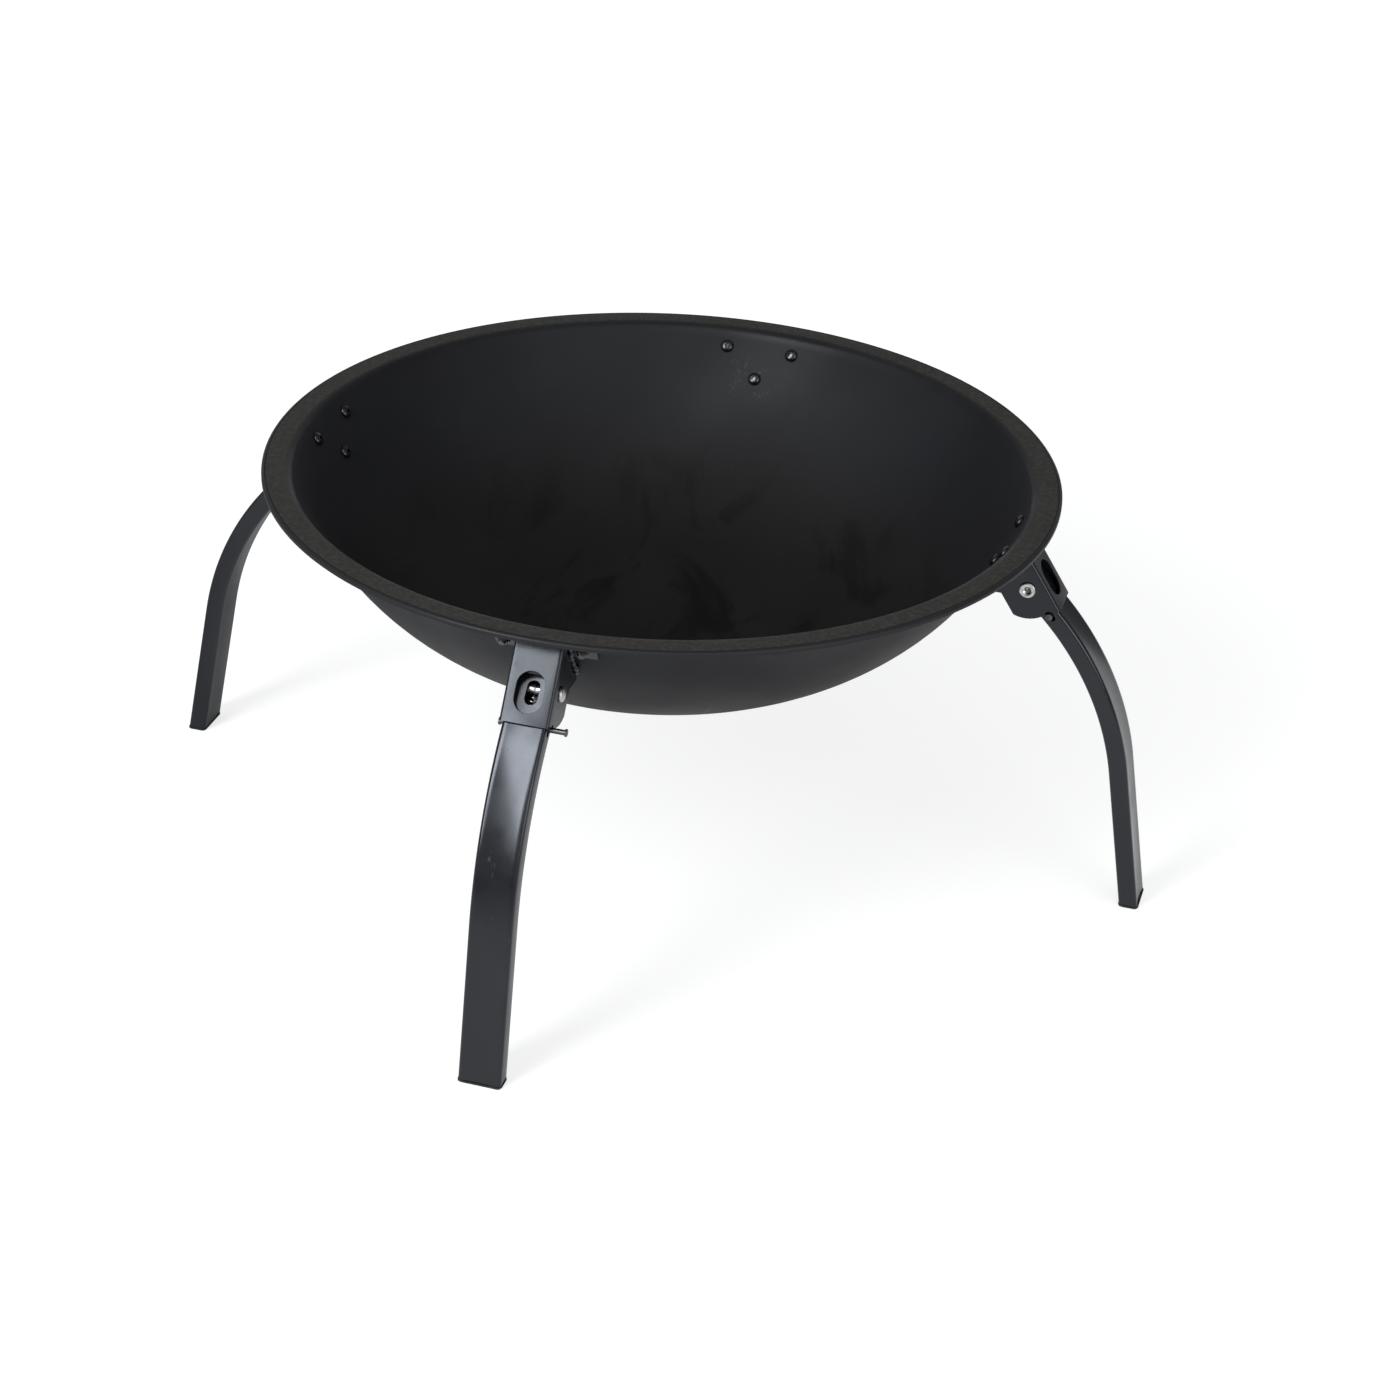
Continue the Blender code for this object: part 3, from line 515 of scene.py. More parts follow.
def metal_finish(name, bright, dull, roughness, grain, stretch=(1.0, 1.0, 1.0)):
    """Bare metal with fine tooling marks and tarnish."""
    f = Finish(name, roughness, metallic=1.0)
    tarnish = f.span(f.noise(300.0, 4.0), 0.35, 0.70)
    f.colour(f.blend(tarnish, bright, dull))
    marks = f.noise(grain, 2.0, stretch)
    f.roughness(f.span(marks, 0.3, 0.7, roughness - 0.06, roughness + 0.10))
    f.bump((marks, 0.02 * MM), (f.noise(900.0, 2.0), 0.01 * MM))
    return f.material


def oxide_finish():
    """Black oxide on the screws and nuts: oily sheen, rubbed high spots."""
    f = Finish("screw_oxide", 0.24, level=0.75)
    rubbed = f.span(f.noise(420.0, 3.0), 0.52, 0.74)
    f.colour(f.blend(rubbed, (0.0035, 0.0035, 0.0040), (0.011, 0.011, 0.012)))
    f.roughness(f.span(f.noise(260.0, 3.0), 0.3, 0.7, 0.17, 0.30))
    f.bump((f.noise(1100.0, 2.0), 0.012 * MM))
    return f.material


def plastic_finish():
    """Moulded matt foot plastic with a fine spark texture and floor dust."""
    f = Finish("foot_moulding", 0.55, level=0.45)
    height = f.node("SeparateXYZ", {0: f.place}).outputs["Z"]
    dust = f.math("MULTIPLY", f.span(height, 4.0 * MM, 0.0), f.span(f.noise(240.0, 4.0), 0.35, 0.7))
    f.colour(f.blend(f.math("MULTIPLY", dust, 0.4), (0.012, 0.012, 0.0125), (0.075, 0.072, 0.067)))
    f.roughness(f.span(f.noise(500.0, 3.0), 0.3, 0.7, 0.48, 0.64))
    f.bump((f.noise(1500.0, 2.0), 0.03 * MM))
    return f.material


def bowl_side(offset):
    """Points of one face of the sheet, from the axis out to the end of the lip."""
    corner = Vector((RIM_RADIUS - FLANGE_WIDTH, RIM_HEIGHT))
    up = Vector((math.sin(WALL_LEAN), math.cos(WALL_LEAN)))
    inward = Vector((-math.cos(WALL_LEAN), math.sin(WALL_LEAN)))
    dish = Vector((0.0, RIM_HEIGHT - BOWL_DEPTH + DISH_RADIUS))
    start = corner - up * (STRAIGHT_WALL / math.cos(WALL_LEAN))
    across = start - dish
    bend_radius = ((DISH_RADIUS ** 2 - across.length_squared)
                   / (2.0 * (DISH_RADIUS + inward.dot(across))))
    knuckle = start + inward * bend_radius
    join = math.atan2(knuckle.y - dish.y, knuckle.x)

    points = [(0.0, dish.y - DISH_RADIUS - offset)]
    points += arc(dish, DISH_RADIUS + offset, -math.pi / 2.0, join, 10)[1:]
    points += arc(knuckle, bend_radius + offset, join, -WALL_LEAN, 18)[1:]
    turn = math.pi / 2.0 - WALL_LEAN
    tangent = FLANGE_BEND * math.tan(turn / 2.0)
    bend = Vector((corner.x + tangent, RIM_HEIGHT - FLANGE_BEND))
    points += arc(bend, FLANGE_BEND - offset, math.pi - WALL_LEAN, math.pi / 2.0, 9)
    edge = Vector((RIM_RADIUS - LIP_BEND, RIM_HEIGHT - LIP_BEND))
    points += arc(edge, LIP_BEND - offset, math.pi / 2.0, 0.0, 6)
    points.append((RIM_RADIUS - offset, RIM_HEIGHT - LIP_HEIGHT))
    return points


def wall_radius(height, offset):
    """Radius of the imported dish's corners at a height, or outside its wall by offset."""
    return (RIM_RADIUS - FLANGE_WIDTH - (RIM_HEIGHT - height) * math.tan(WALL_LEAN)
            + offset / math.cos(WALL_LEAN))


def wall_spot(height, side, offset):
    """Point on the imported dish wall, or outside it by offset, from its height and side."""
    radius = wall_radius(height, offset)
    azimuth = math.asin(side / radius)
    step = 2.0 * CAD_HALF_FACET
    radius *= math.cos(CAD_HALF_FACET) / math.cos(azimuth - step * round(azimuth / step))
    return Vector((radius * math.cos(azimuth), radius * math.sin(azimuth), height))


def wall_frame(height, side, offset):
    """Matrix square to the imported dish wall, moved out by offset: +Z points into the dish."""
    origin = wall_spot(height, side, 0.0)
    azimuth = math.atan2(origin.y, origin.x)
    return (Matrix.Translation(origin) @ Matrix.Rotation(azimuth, 4, "Z")
            @ Matrix.Rotation(WALL_LEAN - math.pi / 2.0, 4, "Y")
            @ Matrix.Translation((0.0, 0.0, -offset)))


def screw_drill(segments):
    """Cutter along Z for a screw's hole."""
    return bar("drill", SCREW_SHANK / 2.0 + GAP, -DRILL_REACH, DRILL_REACH, segments)


def bowl_mesh():
    """The dish, round instead of flat-sided, with its twelve screw holes."""
    mean = (1.0 + math.cos(CAD_HALF_FACET)) / 2.0
    profile = [(r * mean, z) for r, z in bowl_side(SHEET) + bowl_side(0.0)[::-1]]
    body = lathe("bowl_skin", profile, 216)
    cutters = []
    for azimuth in LEG_AZIMUTHS.values():
        for height, side, _ in SCREW_PLACES.values():
            drill = screw_drill(20)
            drill.transform(turned(azimuth) @ wall_frame(height, side, 0.0))
            cutters.append(drill)
    return smooth(carve(body, cutters))


def direction(lean):
    """Unit vector that points down and outward, at an angle from the vertical."""
    return Vector((math.sin(lean), 0.0, -math.cos(lean)))


def outward(lean):
    """Unit vector square to direction(lean), on the side away from the dish."""
    return Vector((math.cos(lean), 0.0, math.sin(lean)))


def tube_point(down, out, side=0.0):
    """Point near the pivot, measured along and square to the leg's straight top."""
    return (direction(LEG_LEAN_TOP) * down + outward(LEG_LEAN_TOP) * out
            + Vector((0.0, side, 0.0)))


def section(half_depth, half_width, corner, dip):
    """Rounded rectangle as (out, side) points, with a slightly hollow outer face."""
    points = []
    steps = 5
    for sx, sy, start in ((1, 1, 0.0), (-1, 1, 90.0), (-1, -1, 180.0), (1, -1, 270.0)):
        for i in range(steps + 1):
            a = math.radians(start + 90.0 * i / steps)
            points.append((sx * (half_depth - corner) + corner * math.cos(a),
                           sy * (half_width - corner) + corner * math.sin(a)))
    half = 6
    for i in range(1 - half, half):
        share = i / half
        points.append((half_depth - dip * (1.0 - share * share), share * (half_width - corner)))
    return points


def leg_stations():
    """Centre and lean of the tube's cross-sections, measured from the pivot."""
    stations = [(tube_point(-TUBE_TOP, 0.0), LEG_LEAN_TOP)]
    start = tube_point(LEG_BEND_START, 0.0)
    centre = start - outward(LEG_LEAN_TOP) * LEG_BEND_RADIUS
    steps = 28
    for i in range(steps + 1):
        lean = LEG_LEAN_TOP + (LEG_LEAN_FOOT - LEG_LEAN_TOP) * i / steps
        stations.append((centre + outward(lean) * LEG_BEND_RADIUS, lean))
    return stations


def foot_point(out, side, height):
    """Point of the straight lower leg at a height above the floor, from the pivot."""
    centre, lean = leg_stations()[-1]
    start = centre + outward(lean) * out
    drop = start.z + PIVOT.z - height
    point = start + direction(lean) * (drop / math.cos(lean))
    return Vector((point.x, side, point.z))


def tube_skin(name, inset, top, bottom):
    """Solid of one face of the tube, from above its top end to a height over the floor."""
    dip = 0.0 if inset else FACE_DIP
    shape = section(TUBE_DEPTH / 2.0 - inset, TUBE_WIDTH / 2.0 - inset, TUBE_CORNER - inset, dip)
    stations = leg_stations()
    stations[0] = (stations[0][0] - direction(LEG_LEAN_TOP) * top, LEG_LEAN_TOP)
    rings = [[centre + outward(lean) * out + Vector((0.0, side, 0.0)) for out, side in shape]
             for centre, lean in stations]
    rings.append([foot_point(out, side, bottom) for out, side in shape])
    return loft(name, rings)


def rivet_bore():
    """Cutter along Y for the rivet's hole, through both sides of a leg or bracket."""
    bore = bar("bore", RIVET_SHANK / 2.0 + GAP, -TUBE_WIDTH, TUBE_WIDTH, 32)
    bore.transform(Matrix.Rotation(math.pi / 2.0, 4, "X"))
    return bore


def tube_mesh():
    """Bent rectangular tube with its rivet bore, pin slots and spring window."""
    body = tube_skin("leg_skin", 0.0, 0.0, CAP_THICKNESS + GAP)
    hollow = tube_skin("hollow", TUBE_WALL, TUBE_WALL, CAP_THICKNESS - TUBE_WALL)
    middle = PIN_REACH + (PIN_TRAVEL_OUT - PIN_TRAVEL_IN) / 2.0
    slot_length = PIN_HOLE + PIN_TRAVEL_OUT + PIN_TRAVEL_IN
    slot = prism("slot", [tube_point(middle + a, b, -TUBE_WIDTH)
                          for a, b in obround(slot_length, PIN_HOLE, 12)],
                 Vector((0.0, 2.0 * TUBE_WIDTH, 0.0)))
    inner = TUBE_DEPTH / 2.0 - 2.0 * TUBE_WALL
    window = prism("window", [tube_point(SPRING_WINDOW_CENTRE + a, inner, b)
                              for a, b in obround(SPRING_WINDOW_LENGTH, SPRING_WINDOW_WIDTH)],
                   outward(LEG_LEAN_TOP) * 4.0 * TUBE_WALL)
    return smooth(carve(body, [hollow, rivet_bore(), slot, window]))


def web_point(down, out, side=0.0):
    """Point near the pivot, measured along and square to the bracket's web."""
    return direction(WEB_LEAN) * down + outward(WEB_LEAN) * out + Vector((0.0, side, 0.0))


def cheek_outline(web_outer):
    """Side view of the bracket as (x, z) from the pivot, before it is seated on the plate."""
    web_top = web_point(-2.0 * WEB_BELOW_PIVOT, web_outer)
    depth = CHEEK_DEPTH - web_outer
    across = (-depth * math.sin(WEB_LEAN) - SHOULDER) / math.cos(WEB_LEAN)
    corner = web_point(across, -depth)
    behind = corner - Vector((CHEEK_DEPTH, 0.0, 0.0))
    above = Vector((behind.x, 0.0, web_top.z))

    # Lower edge: an arc round the rivet, then the notch that holds the pin
    reach = PIN_REACH - PIN_DIAMETER / 2.0 - GAP
    inner_lean = WEB_LEAN - math.pi / 2.0 + math.acos(min(depth / reach, 1.0))
    seat = PIN_REACH - PIN_TRAVEL_IN
    notch = PIN_HOLE / 2.0
    mouth = math.acos((seat * seat + notch * notch - reach * reach) / (2.0 * seat * notch))
    mouth_lean = LEG_LEAN_TOP - math.asin(notch * math.sin(mouth) / reach)
    swing = mouth_lean - inner_lean
    steps = 24
    edge = [direction(inner_lean + swing * i / steps) * reach for i in range(steps + 1)]
    steps = 10
    for i in range(1, steps + 1):
        a = mouth - (mouth + math.pi / 2.0) * i / steps
        edge.append(tube_point(seat - notch * math.cos(a), -notch * math.sin(a)))
    step = LEG_LEAN_TOP - WEB_LEAN
    edge.append(tube_point(WEB_BELOW_PIVOT / math.cos(step) - notch * math.tan(step), notch))
    edge.append(web_point(WEB_BELOW_PIVOT, web_outer))
    return edge + [web_top, above, behind, corner]


def bend_corners(body, out, reach):
    """Round the two long edges of a bracket, where its web meets the cheeks."""
    near = GAP / 10.0
    bm = bmesh.new()
    bm.from_mesh(body)
    bends = [e for e in bm.edges
             if all(abs(v.co.dot(out) - reach) < near for v in e.verts)
             and abs(e.verts[0].co.y - e.verts[1].co.y) < near]
    bmesh.ops.bevel(bm, geom=bends, offset=BRACKET_BEND, segments=8, affect="EDGES", profile=0.5)
    bm.to_mesh(body)
    bm.free()


def seat_cutter():
    """Cutter for a bracket, from the pivot: all that lies behind its mounting plate's face."""
    face = PLATE_FACE + GAP
    back = face - 90.0 * MM
    low = 180.0 * MM
    high = 300.0 * MM
    rings = []
    for k in (-5, -3, -1, 1, 3, 5):
        azimuth = k * CAD_HALF_FACET
        ring = []
        for height, offset in ((low, back), (high, back), (high, face), (low, face)):
            radius = wall_radius(height, offset)
            ring.append(Vector((radius * math.cos(azimuth), radius * math.sin(azimuth), height)))
        rings.append(ring)
    seat = loft("seat", rings)
    seat.transform(Matrix.Translation(-PIVOT))
    return seat


def bracket_mesh():
    """Pressed U bracket with smooth long bends and a punched window, seated on its plate."""
    step = LEG_LEAN_TOP - WEB_LEAN
    web_inner = (TUBE_DEPTH / 2.0 + GAP + WEB_BELOW_PIVOT * math.sin(step)) / math.cos(step)
    web_outer = web_inner + BRACKET_SHEET
    out = outward(WEB_LEAN)
    outline = [Vector((p.x, -CHEEK_OUTER, p.z)) for p in cheek_outline(web_outer)]
    body = prism("bracket_skin", outline, Vector((0.0, 2.0 * CHEEK_OUTER, 0.0)))
    bend_corners(body, out, web_outer)
    far = 4.0 * WEB_BELOW_PIVOT
    inside = [web_point(-far, -far, -CHEEK_INNER), web_point(-far, web_inner, -CHEEK_INNER),
              web_point(far, web_inner, -CHEEK_INNER), web_point(far, -far, -CHEEK_INNER)]
    channel = prism("channel", inside, Vector((0.0, 2.0 * CHEEK_INNER, 0.0)))
    middle = WEB_BELOW_PIVOT - WINDOW_MARGIN - WINDOW_LENGTH / 2.0
    window = prism("window", [web_point(middle + a, web_inner - BRACKET_SHEET, b)
                              for a, b in obround(WINDOW_LENGTH, WINDOW_WIDTH, 24)],
                   out * 3.0 * BRACKET_SHEET)
    return smooth(carve(body, [channel, rivet_bore(), window, seat_cutter()]), angle=30.0)


def wave(t, height, pace, start):
    """Height of a sine wave at a share t of a bead's length."""
    return height * math.sin(pace * t + start)


def bead_mesh(side):
    """Rippled weld bead down the corner between one cheek and the mounting plate."""
    across = Vector((math.cos(WALL_LEAN), 0.0, -math.sin(WALL_LEAN)))
    rings = []
    for i in range(BEAD_STEPS + 1):
        t = i / BEAD_STEPS
        drift = wave(t, *BEAD_SWAY) + wave(t, *BEAD_SHAKE)
        centre = wall_spot(BEAD_TOP - BEAD_LENGTH * t,
                           side * (CHEEK_OUTER + BEAD_OFF_CHEEK + drift),
                           PLATE_FACE + BEAD_OFF_PLATE)
        ripple = abs(math.sin(math.pi * BEAD_LOBES * t))
        girth = BEAD_THIN + BEAD_SWELL * ripple + wave(t, *BEAD_UNEVEN)
        if i in (0, BEAD_STEPS):
            girth *= BEAD_END_SHARE
        ring = []
        for j in range(BEAD_SIDES):
            a = 2.0 * math.pi * j / BEAD_SIDES
            ring.append(centre + across * (girth * math.cos(a))
                        + Vector((0.0, girth * math.sin(a), 0.0)))
        rings.append(ring)
    return smooth(loft("bead_skin", rings), angle=70.0)


def rivet_mesh():
    """Tubular rivet along Y: a domed head at +Y, a flared open end at -Y."""
    seat = CHEEK_OUTER + GAP
    shank = RIVET_SHANK / 2.0
    head = RIVET_HEAD / 2.0
    flare = RIVET_FLARE / 2.0
    bore = RIVET_BORE / 2.0
    end = -seat - RIVET_FLARE_HEIGHT
    deep = end + RIVET_BORE_DEPTH
    edge = 0.25 * RIVET_HEAD_HEIGHT
    dome = []
    for degrees in range(0, 90, 9):
        a = math.radians(degrees)
        rise = edge + (RIVET_HEAD_HEIGHT - edge) * math.sin(a)
        dome.append((head * math.cos(a), seat + rise))

    # The rolled end: share of the way from bore to flare, and millimetres behind its crest
    roll = [(0.10, 0.95), (0.22, 0.55), (0.36, 0.20), (0.50, 0.02), (0.62, 0.0), (0.76, 0.05),
            (0.88, 0.20), (0.96, 0.45), (1.0, 0.80)]
    profile = [(0.0, deep), (bore, deep), (bore, -seat)]
    profile += [(bore + (flare - bore) * share, end + behind * MM) for share, behind in roll]
    profile += [(flare, -seat), (shank, -seat), (shank, seat), (head, seat)]
    profile += dome + [(0.0, seat + RIVET_HEAD_HEIGHT)]
    mesh = lathe("rivet_skin", profile, 40)
    mesh.transform(Matrix.Rotation(-math.pi / 2.0, 4, "X"))
    return smooth(mesh, angle=28.0)


def pin_mesh():
    """Lock pin along Y: a long grip at +Y, a short tail at -Y, a head on each end."""
    radius = PIN_DIAMETER / 2.0
    head = PIN_HEAD / 2.0
    thick = PIN_HEAD_HEIGHT
    grip = CHEEK_OUTER + PIN_GRIP_LENGTH
    tail = -CHEEK_OUTER - PIN_TAIL_LENGTH
    edge = 0.3 * MM
    profile = [(0.0, tail), (head - edge, tail), (head - edge / 3.0, tail + edge / 3.0),
               (head, tail + edge), (head, tail + thick), (radius, tail + thick),
               (radius, grip - thick), (head, grip - thick), (head, grip - edge),
               (head - edge / 3.0, grip - edge / 3.0), (head - edge, grip), (0.0, grip)]
    mesh = lathe("pin_skin", profile, 28)
    mesh.transform(Matrix.Rotation(-math.pi / 2.0, 4, "X"))
    return smooth(mesh, angle=40.0)


def spring_route():
    """Line of the spring's wire from the pivot: a hook, the coil, another hook."""
    top = arc((0.0, 0.0), TOP_HOOK, math.radians(70.0), math.radians(360.0), 18)
    low = arc((PIN_REACH, 0.0), LOW_HOOK, math.radians(180.0), math.radians(-100.0), 15)
    radius = (SPRING_COIL - SPRING_WIRE) / 2.0
    around = 20
    steps = around * SPRING_TURNS
    coil = []
    for i in range(steps + 1):
        a = 2.0 * math.pi * i / around
        down = SPRING_FIRST + (SPRING_LAST - SPRING_FIRST) * i / steps
        coil.append(tube_point(down, radius * math.cos(a), radius * math.sin(a)))
    return ([tube_point(down, out) for down, out in top] + coil
            + [tube_point(down, out) for down, out in low])


def spring_mesh():
    """Round wire along the spring's line: one hook holds the rivet, the other the pin."""
    route = spring_route()
    curve = bpy.data.curves.new("spring_line", "CURVE")
    curve.dimensions = "3D"
    curve.bevel_depth = SPRING_WIRE / 2.0
    curve.bevel_resolution = 2
    curve.use_fill_caps = True
    spline = curve.splines.new("POLY")
    spline.points.add(len(route) - 1)
    for spot, point in zip(spline.points, route):
        spot.co = (*point, 1.0)
    holder = bpy.data.objects.new("wire", curve)
    bpy.context.scene.collection.objects.link(holder)
    bpy.context.view_layer.update()
    shaped = holder.evaluated_get(bpy.context.evaluated_depsgraph_get())
    mesh = bpy.data.meshes.new_from_object(shaped)
    bpy.data.objects.remove(holder, do_unlink=True)
    return smooth(mesh, angle=60.0)


def screw_mesh(length):
    """Button head screw along Z: rounded head, hex socket and ridged thread."""
    head = SCREW_HEAD / 2.0
    crest = SCREW_SHANK / 2.0
    root = crest - THREAD_DEPTH
    profile = [(0.0, -length), (root, -length), (crest, SCREW_CHAMFER - length)]
    down = length - SCREW_CHAMFER
    while down > PLAIN_NECK:
        profile += [(root, THREAD_PITCH / 2.0 - down), (crest, THREAD_PITCH - down)]
        down -= THREAD_PITCH
    edge = 0.1 * MM
    band = 0.4 * MM
    fullness = 0.8
    profile += [(crest, 0.0), (head - edge, 0.0), (head, edge), (head, band)]
    for degrees in range(9, 82, 9):
        a = math.radians(degrees)
        rise = (SCREW_HEAD_HEIGHT - band) * math.sin(a)
        profile.append((head * math.cos(a) ** fullness, band + rise))
    profile.append((0.0, SCREW_HEAD_HEIGHT))
    body = lathe("screw_skin", profile, 32)
    corner = SCREW_SOCKET / 2.0 / math.cos(math.pi / 6.0)
    key = bar("key", corner, SCREW_HEAD_HEIGHT - SOCKET_DEPTH, 2.0 * SCREW_HEAD_HEIGHT, 6)
    return smooth(carve(body, [key]))


def nut_mesh():
    """Chamfered hexagon lock nut along Z, with a round collar at its far end."""
    corner = NUT_WIDTH / 2.0 / math.cos(math.pi / 6.0)
    shoulder = NUT_CROWN_HEIGHT - NUT_HEIGHT
    body = bar("nut_skin", corner, shoulder, 0.0, 6)
    crown = NUT_CROWN / 2.0
    edge = 0.1 * MM
    collar = lathe("collar", [(0.0, -NUT_HEIGHT), (crown - 4.0 * edge, -NUT_HEIGHT),
                              (crown - edge, 2.0 * edge - NUT_HEIGHT),
                              (crown, 5.0 * edge - NUT_HEIGHT),
                              (crown, shoulder / 2.0), (0.0, shoulder / 2.0)], 32)
    rise = 0.36 * MM
    flat = NUT_WIDTH / 2.0 + 0.05 * MM
    turned_form = lathe("turned_form", [(0.0, shoulder), (flat, shoulder),
                                        (corner, shoulder + rise), (corner, -rise),
                                        (flat, 0.0), (0.0, 0.0)], 48)
    return smooth(carve(body, [screw_drill(28)], collar, turned_form))


def show(name, mesh, finish, matrix, body, node):
    """New piece that rides with a body, and stands for a CAD node, where they are named."""
    piece = bpy.data.objects.new(name, mesh.copy())
    bpy.context.scene.collection.objects.link(piece)
    piece.data.materials.clear()
    piece.data.materials.append(finish)
    piece.matrix_world = matrix
    if body:
        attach(piece, body)
    if node:
        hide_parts(node)
    return piece


def soften(thing, width, segments):
    """Break the sharp edges of one piece."""
    rounding = thing.modifiers.new("edges", "BEVEL")
    rounding.width = width
    rounding.segments = segments
    rounding.limit_method = "ANGLE"
    rounding.angle_limit = math.radians(50.0)
    rounding.harden_normals = True


def dress(node, finish):
    """Give a CAD node its finish."""
    thing = frame["nodes"][node]
    for place in thing.material_slots:
        place.material = finish
    return thing


def seen_directly(tree, share, mirrored):
    """Share for camera and transmission rays, mirrored for glossy rays, 0 for the rest."""
    rays = add_node(tree, "LightPath").outputs
    total = combine(tree, "MULTIPLY", rays["Is Glossy Ray"], mirrored)
    for kind in ("Is Camera Ray", "Is Transmission Ray"):
        total = combine(tree, "MAXIMUM", total, combine(tree, "MULTIPLY", rays[kind], share))
    return total


def floor():
    """Pale studio floor that keeps the soft shadow under the object."""
    ground = lathe("studio_floor", [(0.0, 0.0), (FLOOR_RADIUS, 0.0)], 96)
    thing = bpy.data.objects.new("studio_floor", ground)
    bpy.context.scene.collection.objects.link(thing)
    material = bpy.data.materials.new("pale_floor")
    material.use_nodes = True
    tree = material.node_tree
    tree.nodes.clear()
    place = add_node(tree, "TexCoord").outputs["Object"]
    away = add_node(tree, "VectorMath", {0: place}, operation="LENGTH").outputs["Value"]
    lift = soft_span(tree, away, NEAR_END, FAR_START, NEAR_LIFT, FAR_LIFT)

    # In reflections the white paper ends at both sides and before the object, its left side is
    # dimmer with painted shade, and its left rear corner has painted shade
    beside = along(tree, place, ACROSS)
    off = add_node(tree, "Math", {0: beside}, operation="ABSOLUTE").outputs[0]
    ahead = along(tree, place, BEHIND)
    corner = along(tree, place, FROM_CORNER)
    paper = lift
    for distance, edge in ((off, SIDE_EDGES), (ahead, FRONT_EDGE), (beside, LEFT_EDGE),
                           (corner, CORNER_EDGE)):
        paper = combine(tree, "MULTIPLY", paper, soft_span(tree, distance, *edge))

    matt = add_node(tree, "BsdfDiffuse", {"Color": (FLOOR_GREY, FLOOR_GREY, FLOOR_GREY, 1.0)})
    glow = add_node(tree, "Emission", {"Strength": seen_directly(tree, lift, paper)})
    both = add_node(tree, "AddShader", {0: matt.outputs[0], 1: glow.outputs[0]})
    add_node(tree, "OutputMaterial", {"Surface": both.outputs[0]})
    ground.materials.append(material)


def world():
    """White to the camera, a soft fill, and in reflections a white cove and a dark room."""
    made = bpy.data.worlds.new("studio")
    bpy.context.scene.world = made
    made.use_nodes = True
    tree = made.node_tree
    tree.nodes.clear()
    rays = add_node(tree, "LightPath").outputs
    aim = add_node(tree, "TexCoord").outputs["Generated"]
    height = add_node(tree, "SeparateXYZ", {0: aim}).outputs["Z"]
    cove = combine(tree, "MULTIPLY", soft_span(tree, along(tree, aim, BEHIND), *COVE_WIDTH),
                   soft_span(tree, height, *COVE_TOP))
    front = soft_span(tree, along(tree, aim, BEFORE), *FRONT_WIDTH)
    mirrored = pick(tree, front, pick(tree, cove, ROOM_LEVEL, 1.0), FRONT_LEVEL)
    strength = pick(tree, rays["Is Glossy Ray"], FILL_LEVEL, mirrored)
    for kind in ("Is Camera Ray", "Is Transmission Ray"):
        strength = pick(tree, rays[kind], strength, 1.0)
    background = add_node(tree, "Background", {"Color": FILL_TINT, "Strength": strength})
    add_node(tree, "OutputWorld", {"Surface": background.outputs[0]})


def softbox(name, azimuth, elevation, distance, size, radiance, tint, roll=0.0):
    """Rectangular lamp aimed at the front leg, as bright as radiance says."""
    lamp = bpy.data.lights.new(name, "AREA")
    lamp.shape = "RECTANGLE"
    lamp.size, lamp.size_y = size
    lamp.energy = radiance * math.pi * size[0] * size[1]
    lamp.color = tint
    thing = bpy.data.objects.new(name, lamp)
    bpy.context.scene.collection.objects.link(thing)
    a, e = math.radians(azimuth), math.radians(elevation)
    away = Vector((math.cos(a) * math.cos(e), math.sin(a) * math.cos(e), math.sin(e)))
    thing.location = Vector(FRONT_LEG) + away * distance
    spin = Quaternion((0.0, 0.0, 1.0), math.radians(roll))
    thing.rotation_euler = (away.to_track_quat("Z", "Y") @ spin).to_euler()
    thing.visible_camera = False


def camera():
    """The photograph's viewpoint."""
    ahead = Vector((math.sin(VIEW_YAW) * math.cos(VIEW_PITCH),
                    math.cos(VIEW_YAW) * math.cos(VIEW_PITCH), -math.sin(VIEW_PITCH)))
    right = Vector((math.cos(VIEW_YAW), -math.sin(VIEW_YAW), 0.0))
    up = right.cross(ahead)
    across = math.cos(VIEW_ROLL) * right + math.sin(VIEW_ROLL) * up
    upright = -math.sin(VIEW_ROLL) * right + math.cos(VIEW_ROLL) * up
    data = bpy.data.cameras.new("photo_view")
    data.sensor_width = VIEW_SENSOR
    data.lens = VIEW_LENS
    thing = bpy.data.objects.new("photo_view", data)
    bpy.context.scene.collection.objects.link(thing)
    turn = Matrix.Rotation(VIEW_TURN, 3, "Z")
    basis = turn @ Matrix((across, upright, -ahead)).transposed()
    thing.matrix_world = Matrix.Translation(turn @ VIEW_PLACE) @ basis.to_4x4()
    bpy.context.scene.camera = thing


bowl_black = bowl_finish()
bracket_black = satin_finish("bracket_enamel", *ENAMEL, roughness=0.27, seed=0.37)
leg_black = satin_finish("leg_enamel", *ENAMEL, roughness=0.21, seed=0.11)
# Painted shade: the weld bead is given darker enamel than the bracket
weld_painted_shade = satin_finish("weld_enamel_painted_shade", *WELD_PAINTED_SHADE, roughness=0.15, seed=0.53)
zinc = metal_finish("rivet_plate", bright=(0.70, 0.70, 0.68), dull=(0.46, 0.46, 0.44),
                    roughness=0.30, grain=700.0)
steel = metal_finish("pin_turned", bright=(0.150, 0.150, 0.152), dull=(0.070, 0.070, 0.072),
                     roughness=0.34, grain=500.0, stretch=(1.0, 5.0, 1.0))
wire_steel = metal_finish("spring_wire", bright=(0.56, 0.56, 0.55), dull=(0.34, 0.34, 0.33),
                          roughness=0.28, grain=600.0)
oxide = oxide_finish()
foot_black = plastic_finish()

show("bowl_spun", bowl_mesh(), bowl_black, Matrix(), "bowl_assembly", "bowl")

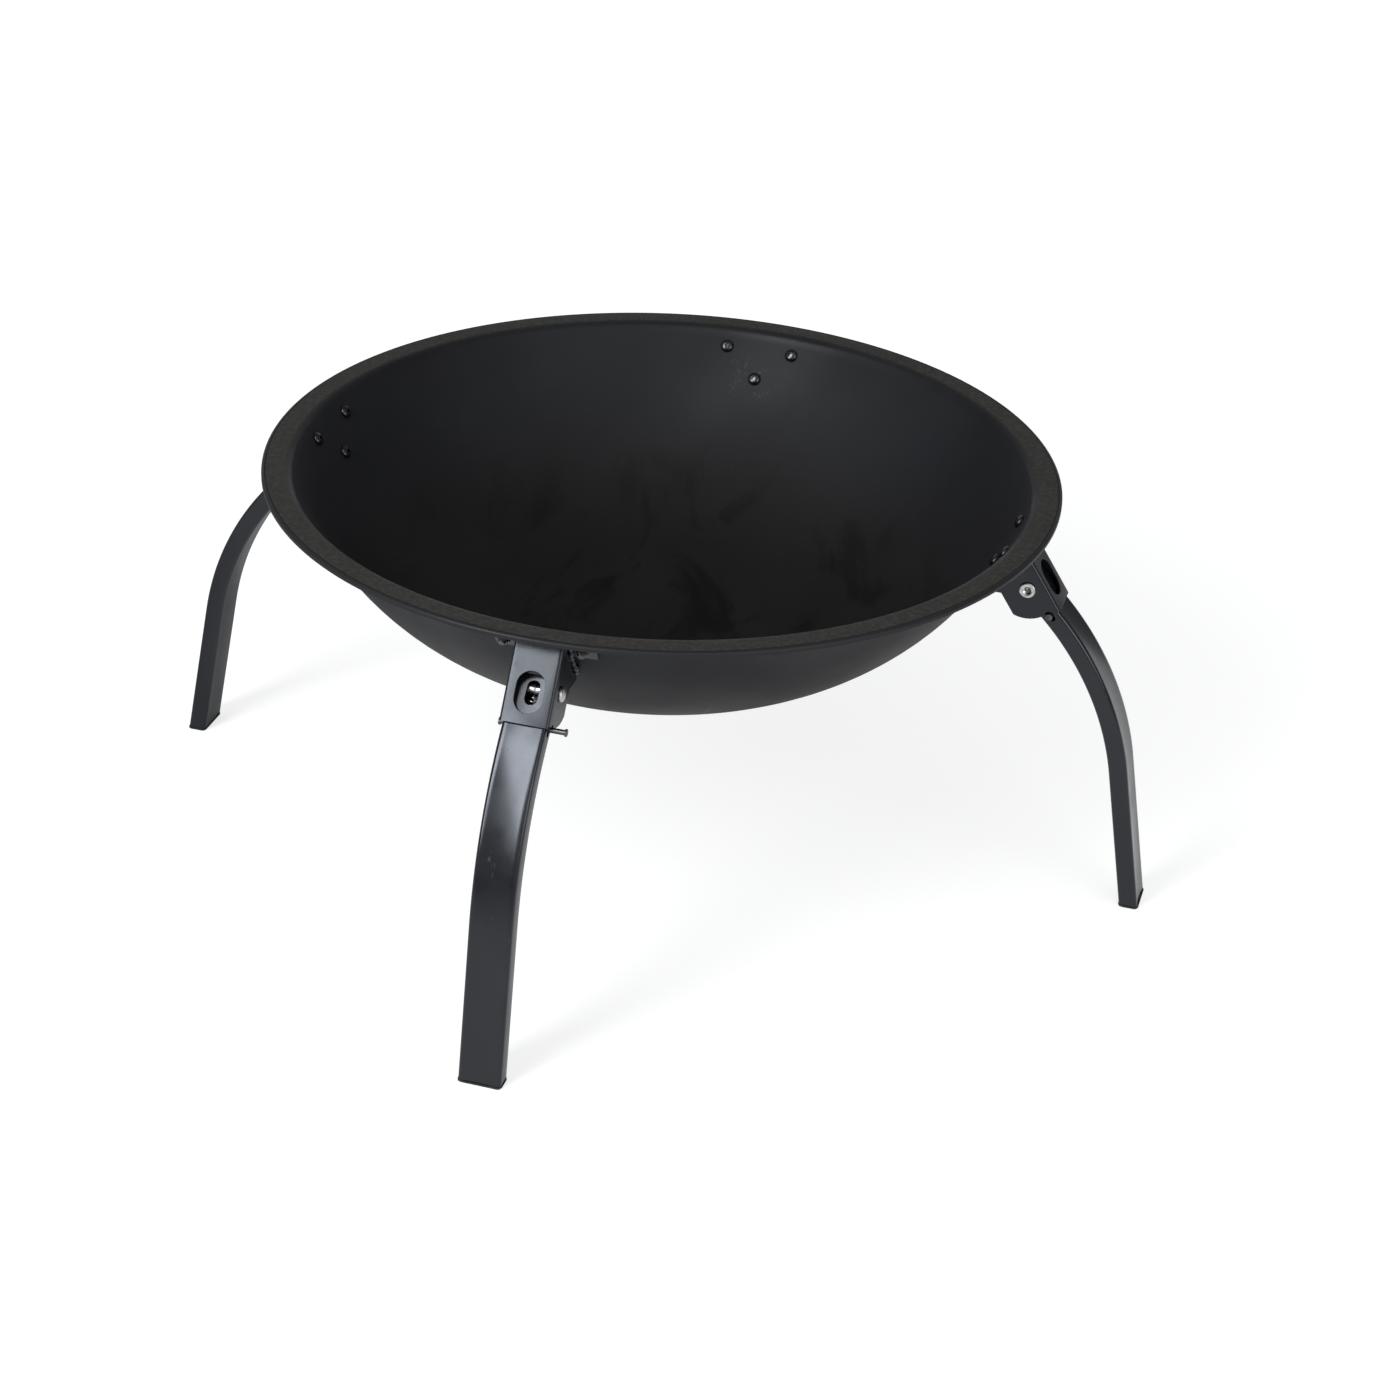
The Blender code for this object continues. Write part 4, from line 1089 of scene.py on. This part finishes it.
bracket = bracket_mesh()
beads = {"a": bead_mesh(1.0), "b": bead_mesh(-1.0)}
tube = tube_mesh()
rivet = rivet_mesh()
pin = pin_mesh()
spring = spring_mesh()
nut = nut_mesh()
screws = {length: screw_mesh(length) for length in (UPPER_SCREW_LENGTH, LOWER_SCREW_LENGTH)}
for leg, azimuth in LEG_AZIMUTHS.items():
    group = turned(azimuth)
    pivot = group @ Matrix.Translation(PIVOT)
    base = "bowl_assembly"
    soften(dress(leg + "_mount_plate", bracket_black), width=0.2 * MM, segments=2)
    pressed = show(leg + "_bracket_pressed", bracket, bracket_black, pivot, base,
                   leg + "_leg_bracket")
    soften(pressed, width=0.3 * MM, segments=3)
    for mark, bead in beads.items():
        show(leg + "_weld_" + mark, bead, weld_painted_shade, group, base, None)
    dress(leg + "_foot_cap", foot_black)
    show(leg + "_leg_bent", tube, leg_black, pivot, leg + "_leg", leg + "_leg_tube")
    show(leg + "_rivet_set", rivet, zinc, pivot, base, leg + "_pivot_rivet")
    wound = show(leg + "_spring_wound", spring, wire_steel, pivot, None, leg + "_lock_spring")
    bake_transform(wound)
    show(leg + "_pin_turned", pin, steel, pivot @ Matrix.Translation(tube_point(PIN_REACH, 0.0)),
         leg + "_pin", leg + "_lock_pin")
    for spot, (height, side, length) in SCREW_PLACES.items():
        under_head = group @ wall_frame(height, side, -GAP)
        show(leg + "_screw_" + spot, screws[length], oxide, under_head, base,
             leg + "_bowl_screw_" + spot)
        behind_plate = group @ wall_frame(height, side, PLATE_FACE + GAP)
        show(leg + "_nut_" + spot, nut, oxide, behind_plate, base,
             leg + "_bowl_nut_" + spot)

floor()
world()
softbox("key", azimuth=-120.8, elevation=34.0, distance=2.3, size=(0.72, 1.8), radiance=11.5,
        tint=(0.96, 0.98, 1.0), roll=-6.0)
softbox("edge", azimuth=-26.0, elevation=15.0, distance=2.3, size=(1.5, 0.9), radiance=3.0,
        tint=(0.97, 0.985, 1.0))
camera()
bpy.context.scene.view_settings.view_transform = "Standard"
